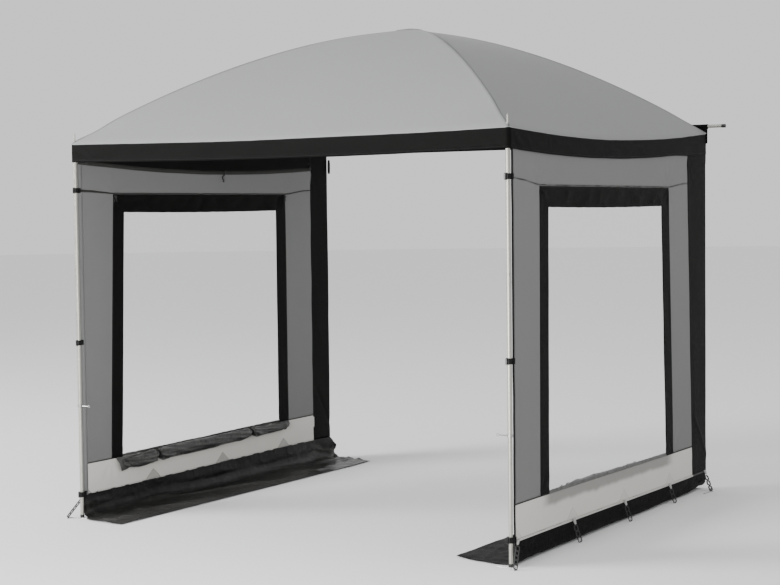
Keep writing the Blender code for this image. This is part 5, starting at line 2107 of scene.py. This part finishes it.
class AWNING_OT_mix_finishes(Steps, bpy.types.Operator):
    """Mix the finishes and give the frame's solids theirs"""

    bl_idname = "awning.mix_finishes"
    bl_label = "Mix Finishes"
    whole = (make_materials, dress_frame)


class AWNING_OT_draw_trees(Steps, bpy.types.Operator):
    """Draw the node trees for stitches and links"""

    bl_idname = "awning.draw_trees"
    bl_label = "Draw Node Trees"
    whole = (make_stitch_tree, make_link_tree)


class AWNING_OT_sew_roof(Steps, bpy.types.Operator):
    """Sew the domed roof with its crown patch, eyelets and pole loops"""

    bl_idname = "awning.sew_roof"
    bl_label = "Sew Roof"
    whole = (sew_roof, sew_crown_patch, pipe_eave, fit_eyelets, tie_poles, tape_hips)


class AWNING_OT_hang_valance(Steps, bpy.types.Operator):
    """Hang the valance round the front and both sides"""

    bl_idname = "awning.hang_valance"
    bl_label = "Hang Valance"
    whole = (hang_valance,)


class AWNING_OT_hang_walls(Steps, bpy.types.Operator):
    """Sew the side walls with their windows, bands and strips"""

    bl_idname = "awning.hang_walls"
    bl_label = "Hang Walls"
    each_side = (sew_wall, sew_seam_tapes, sew_border, sew_window_hem, hang_film, sew_band,
                 sew_patches, sew_strip, fit_zip_band)


class AWNING_OT_lay_skirts(Steps, bpy.types.Operator):
    """Lay the mud skirts along the ground"""

    bl_idname = "awning.lay_skirts"
    bl_label = "Lay Skirts"
    each_side = (lay_skirt,)


class AWNING_OT_roll_blinds(Steps, bpy.types.Operator):
    """Roll up the blinds and tie them"""

    bl_idname = "awning.roll_blinds"
    bl_label = "Roll Blinds"
    each_side = (roll_blind, tie_blind, hang_flap)


class AWNING_OT_bind_edges(Steps, bpy.types.Operator):
    """Bind the walls' front edges and strap them to the legs"""

    bl_idname = "awning.bind_edges"
    bl_label = "Bind Edges"
    each_side = (bind_edge, strap_legs, fit_keepers)


class AWNING_OT_sew_sleeve(Steps, bpy.types.Operator):
    """Sew the rear pole's sleeve with the corner pockets and loops"""

    bl_idname = "awning.sew_sleeve"
    bl_label = "Sew Sleeve"
    whole = (sew_sleeve, sew_pockets, sew_corner_loops)


class AWNING_OT_fit_fittings(Steps, bpy.types.Operator):
    """Fit the legs' small parts, the toggles and the pegging ladders"""

    bl_idname = "awning.fit_fittings"
    bl_label = "Fit Fittings"
    each_side = (hang_toggles, fit_leg, punch_holes, sew_hem_tape, hang_ladders)


class AWNING_OT_stitch_seams(Steps, bpy.types.Operator):
    """Stitch every seam that the other pieces noted"""

    bl_idname = "awning.stitch_seams"
    bl_label = "Stitch Seams"
    whole = (stitch_seams,)


OPERATORS = (
    AWNING_OT_set_stage, AWNING_OT_mix_finishes, AWNING_OT_draw_trees, AWNING_OT_sew_roof,
    AWNING_OT_hang_valance, AWNING_OT_hang_walls, AWNING_OT_lay_skirts, AWNING_OT_roll_blinds,
    AWNING_OT_bind_edges, AWNING_OT_sew_sleeve, AWNING_OT_fit_fittings, AWNING_OT_stitch_seams)
GROUPS = {"awning_cloth": AwningCloth, "awning_trim": AwningTrim, "awning_stage": AwningStage}


class AWNING_PT_panel(bpy.types.Panel):
    """The awning's steps and settings"""

    bl_idname = "AWNING_PT_panel"
    bl_label = "Van Awning"
    bl_space_type = "VIEW_3D"
    bl_region_type = "UI"
    bl_category = "Awning"

    def draw(self, context):
        for name, group in GROUPS.items():
            box = self.layout.box()
            for key in group.__annotations__:
                box.prop(getattr(context.scene, name), key)
        for operator in OPERATORS:
            self.layout.operator(operator.bl_idname)


def register():
    for group in GROUPS.values():
        bpy.utils.register_class(group)
    for name, group in GROUPS.items():
        setattr(bpy.types.Scene, name, PointerProperty(type=group))
    for operator in OPERATORS:
        bpy.utils.register_class(operator)
    bpy.utils.register_class(AWNING_PT_panel)


def unregister():
    bpy.utils.unregister_class(AWNING_PT_panel)
    for operator in reversed(OPERATORS):
        bpy.utils.unregister_class(operator)
    for name, group in GROUPS.items():
        delattr(bpy.types.Scene, name)
        bpy.utils.unregister_class(group)


def main():
    """Builds the whole awning."""
    register()
    for operator in OPERATORS:
        group, name = operator.bl_idname.split(".")
        getattr(getattr(bpy.ops, group), name)()


if __name__ == "__main__":
    main()
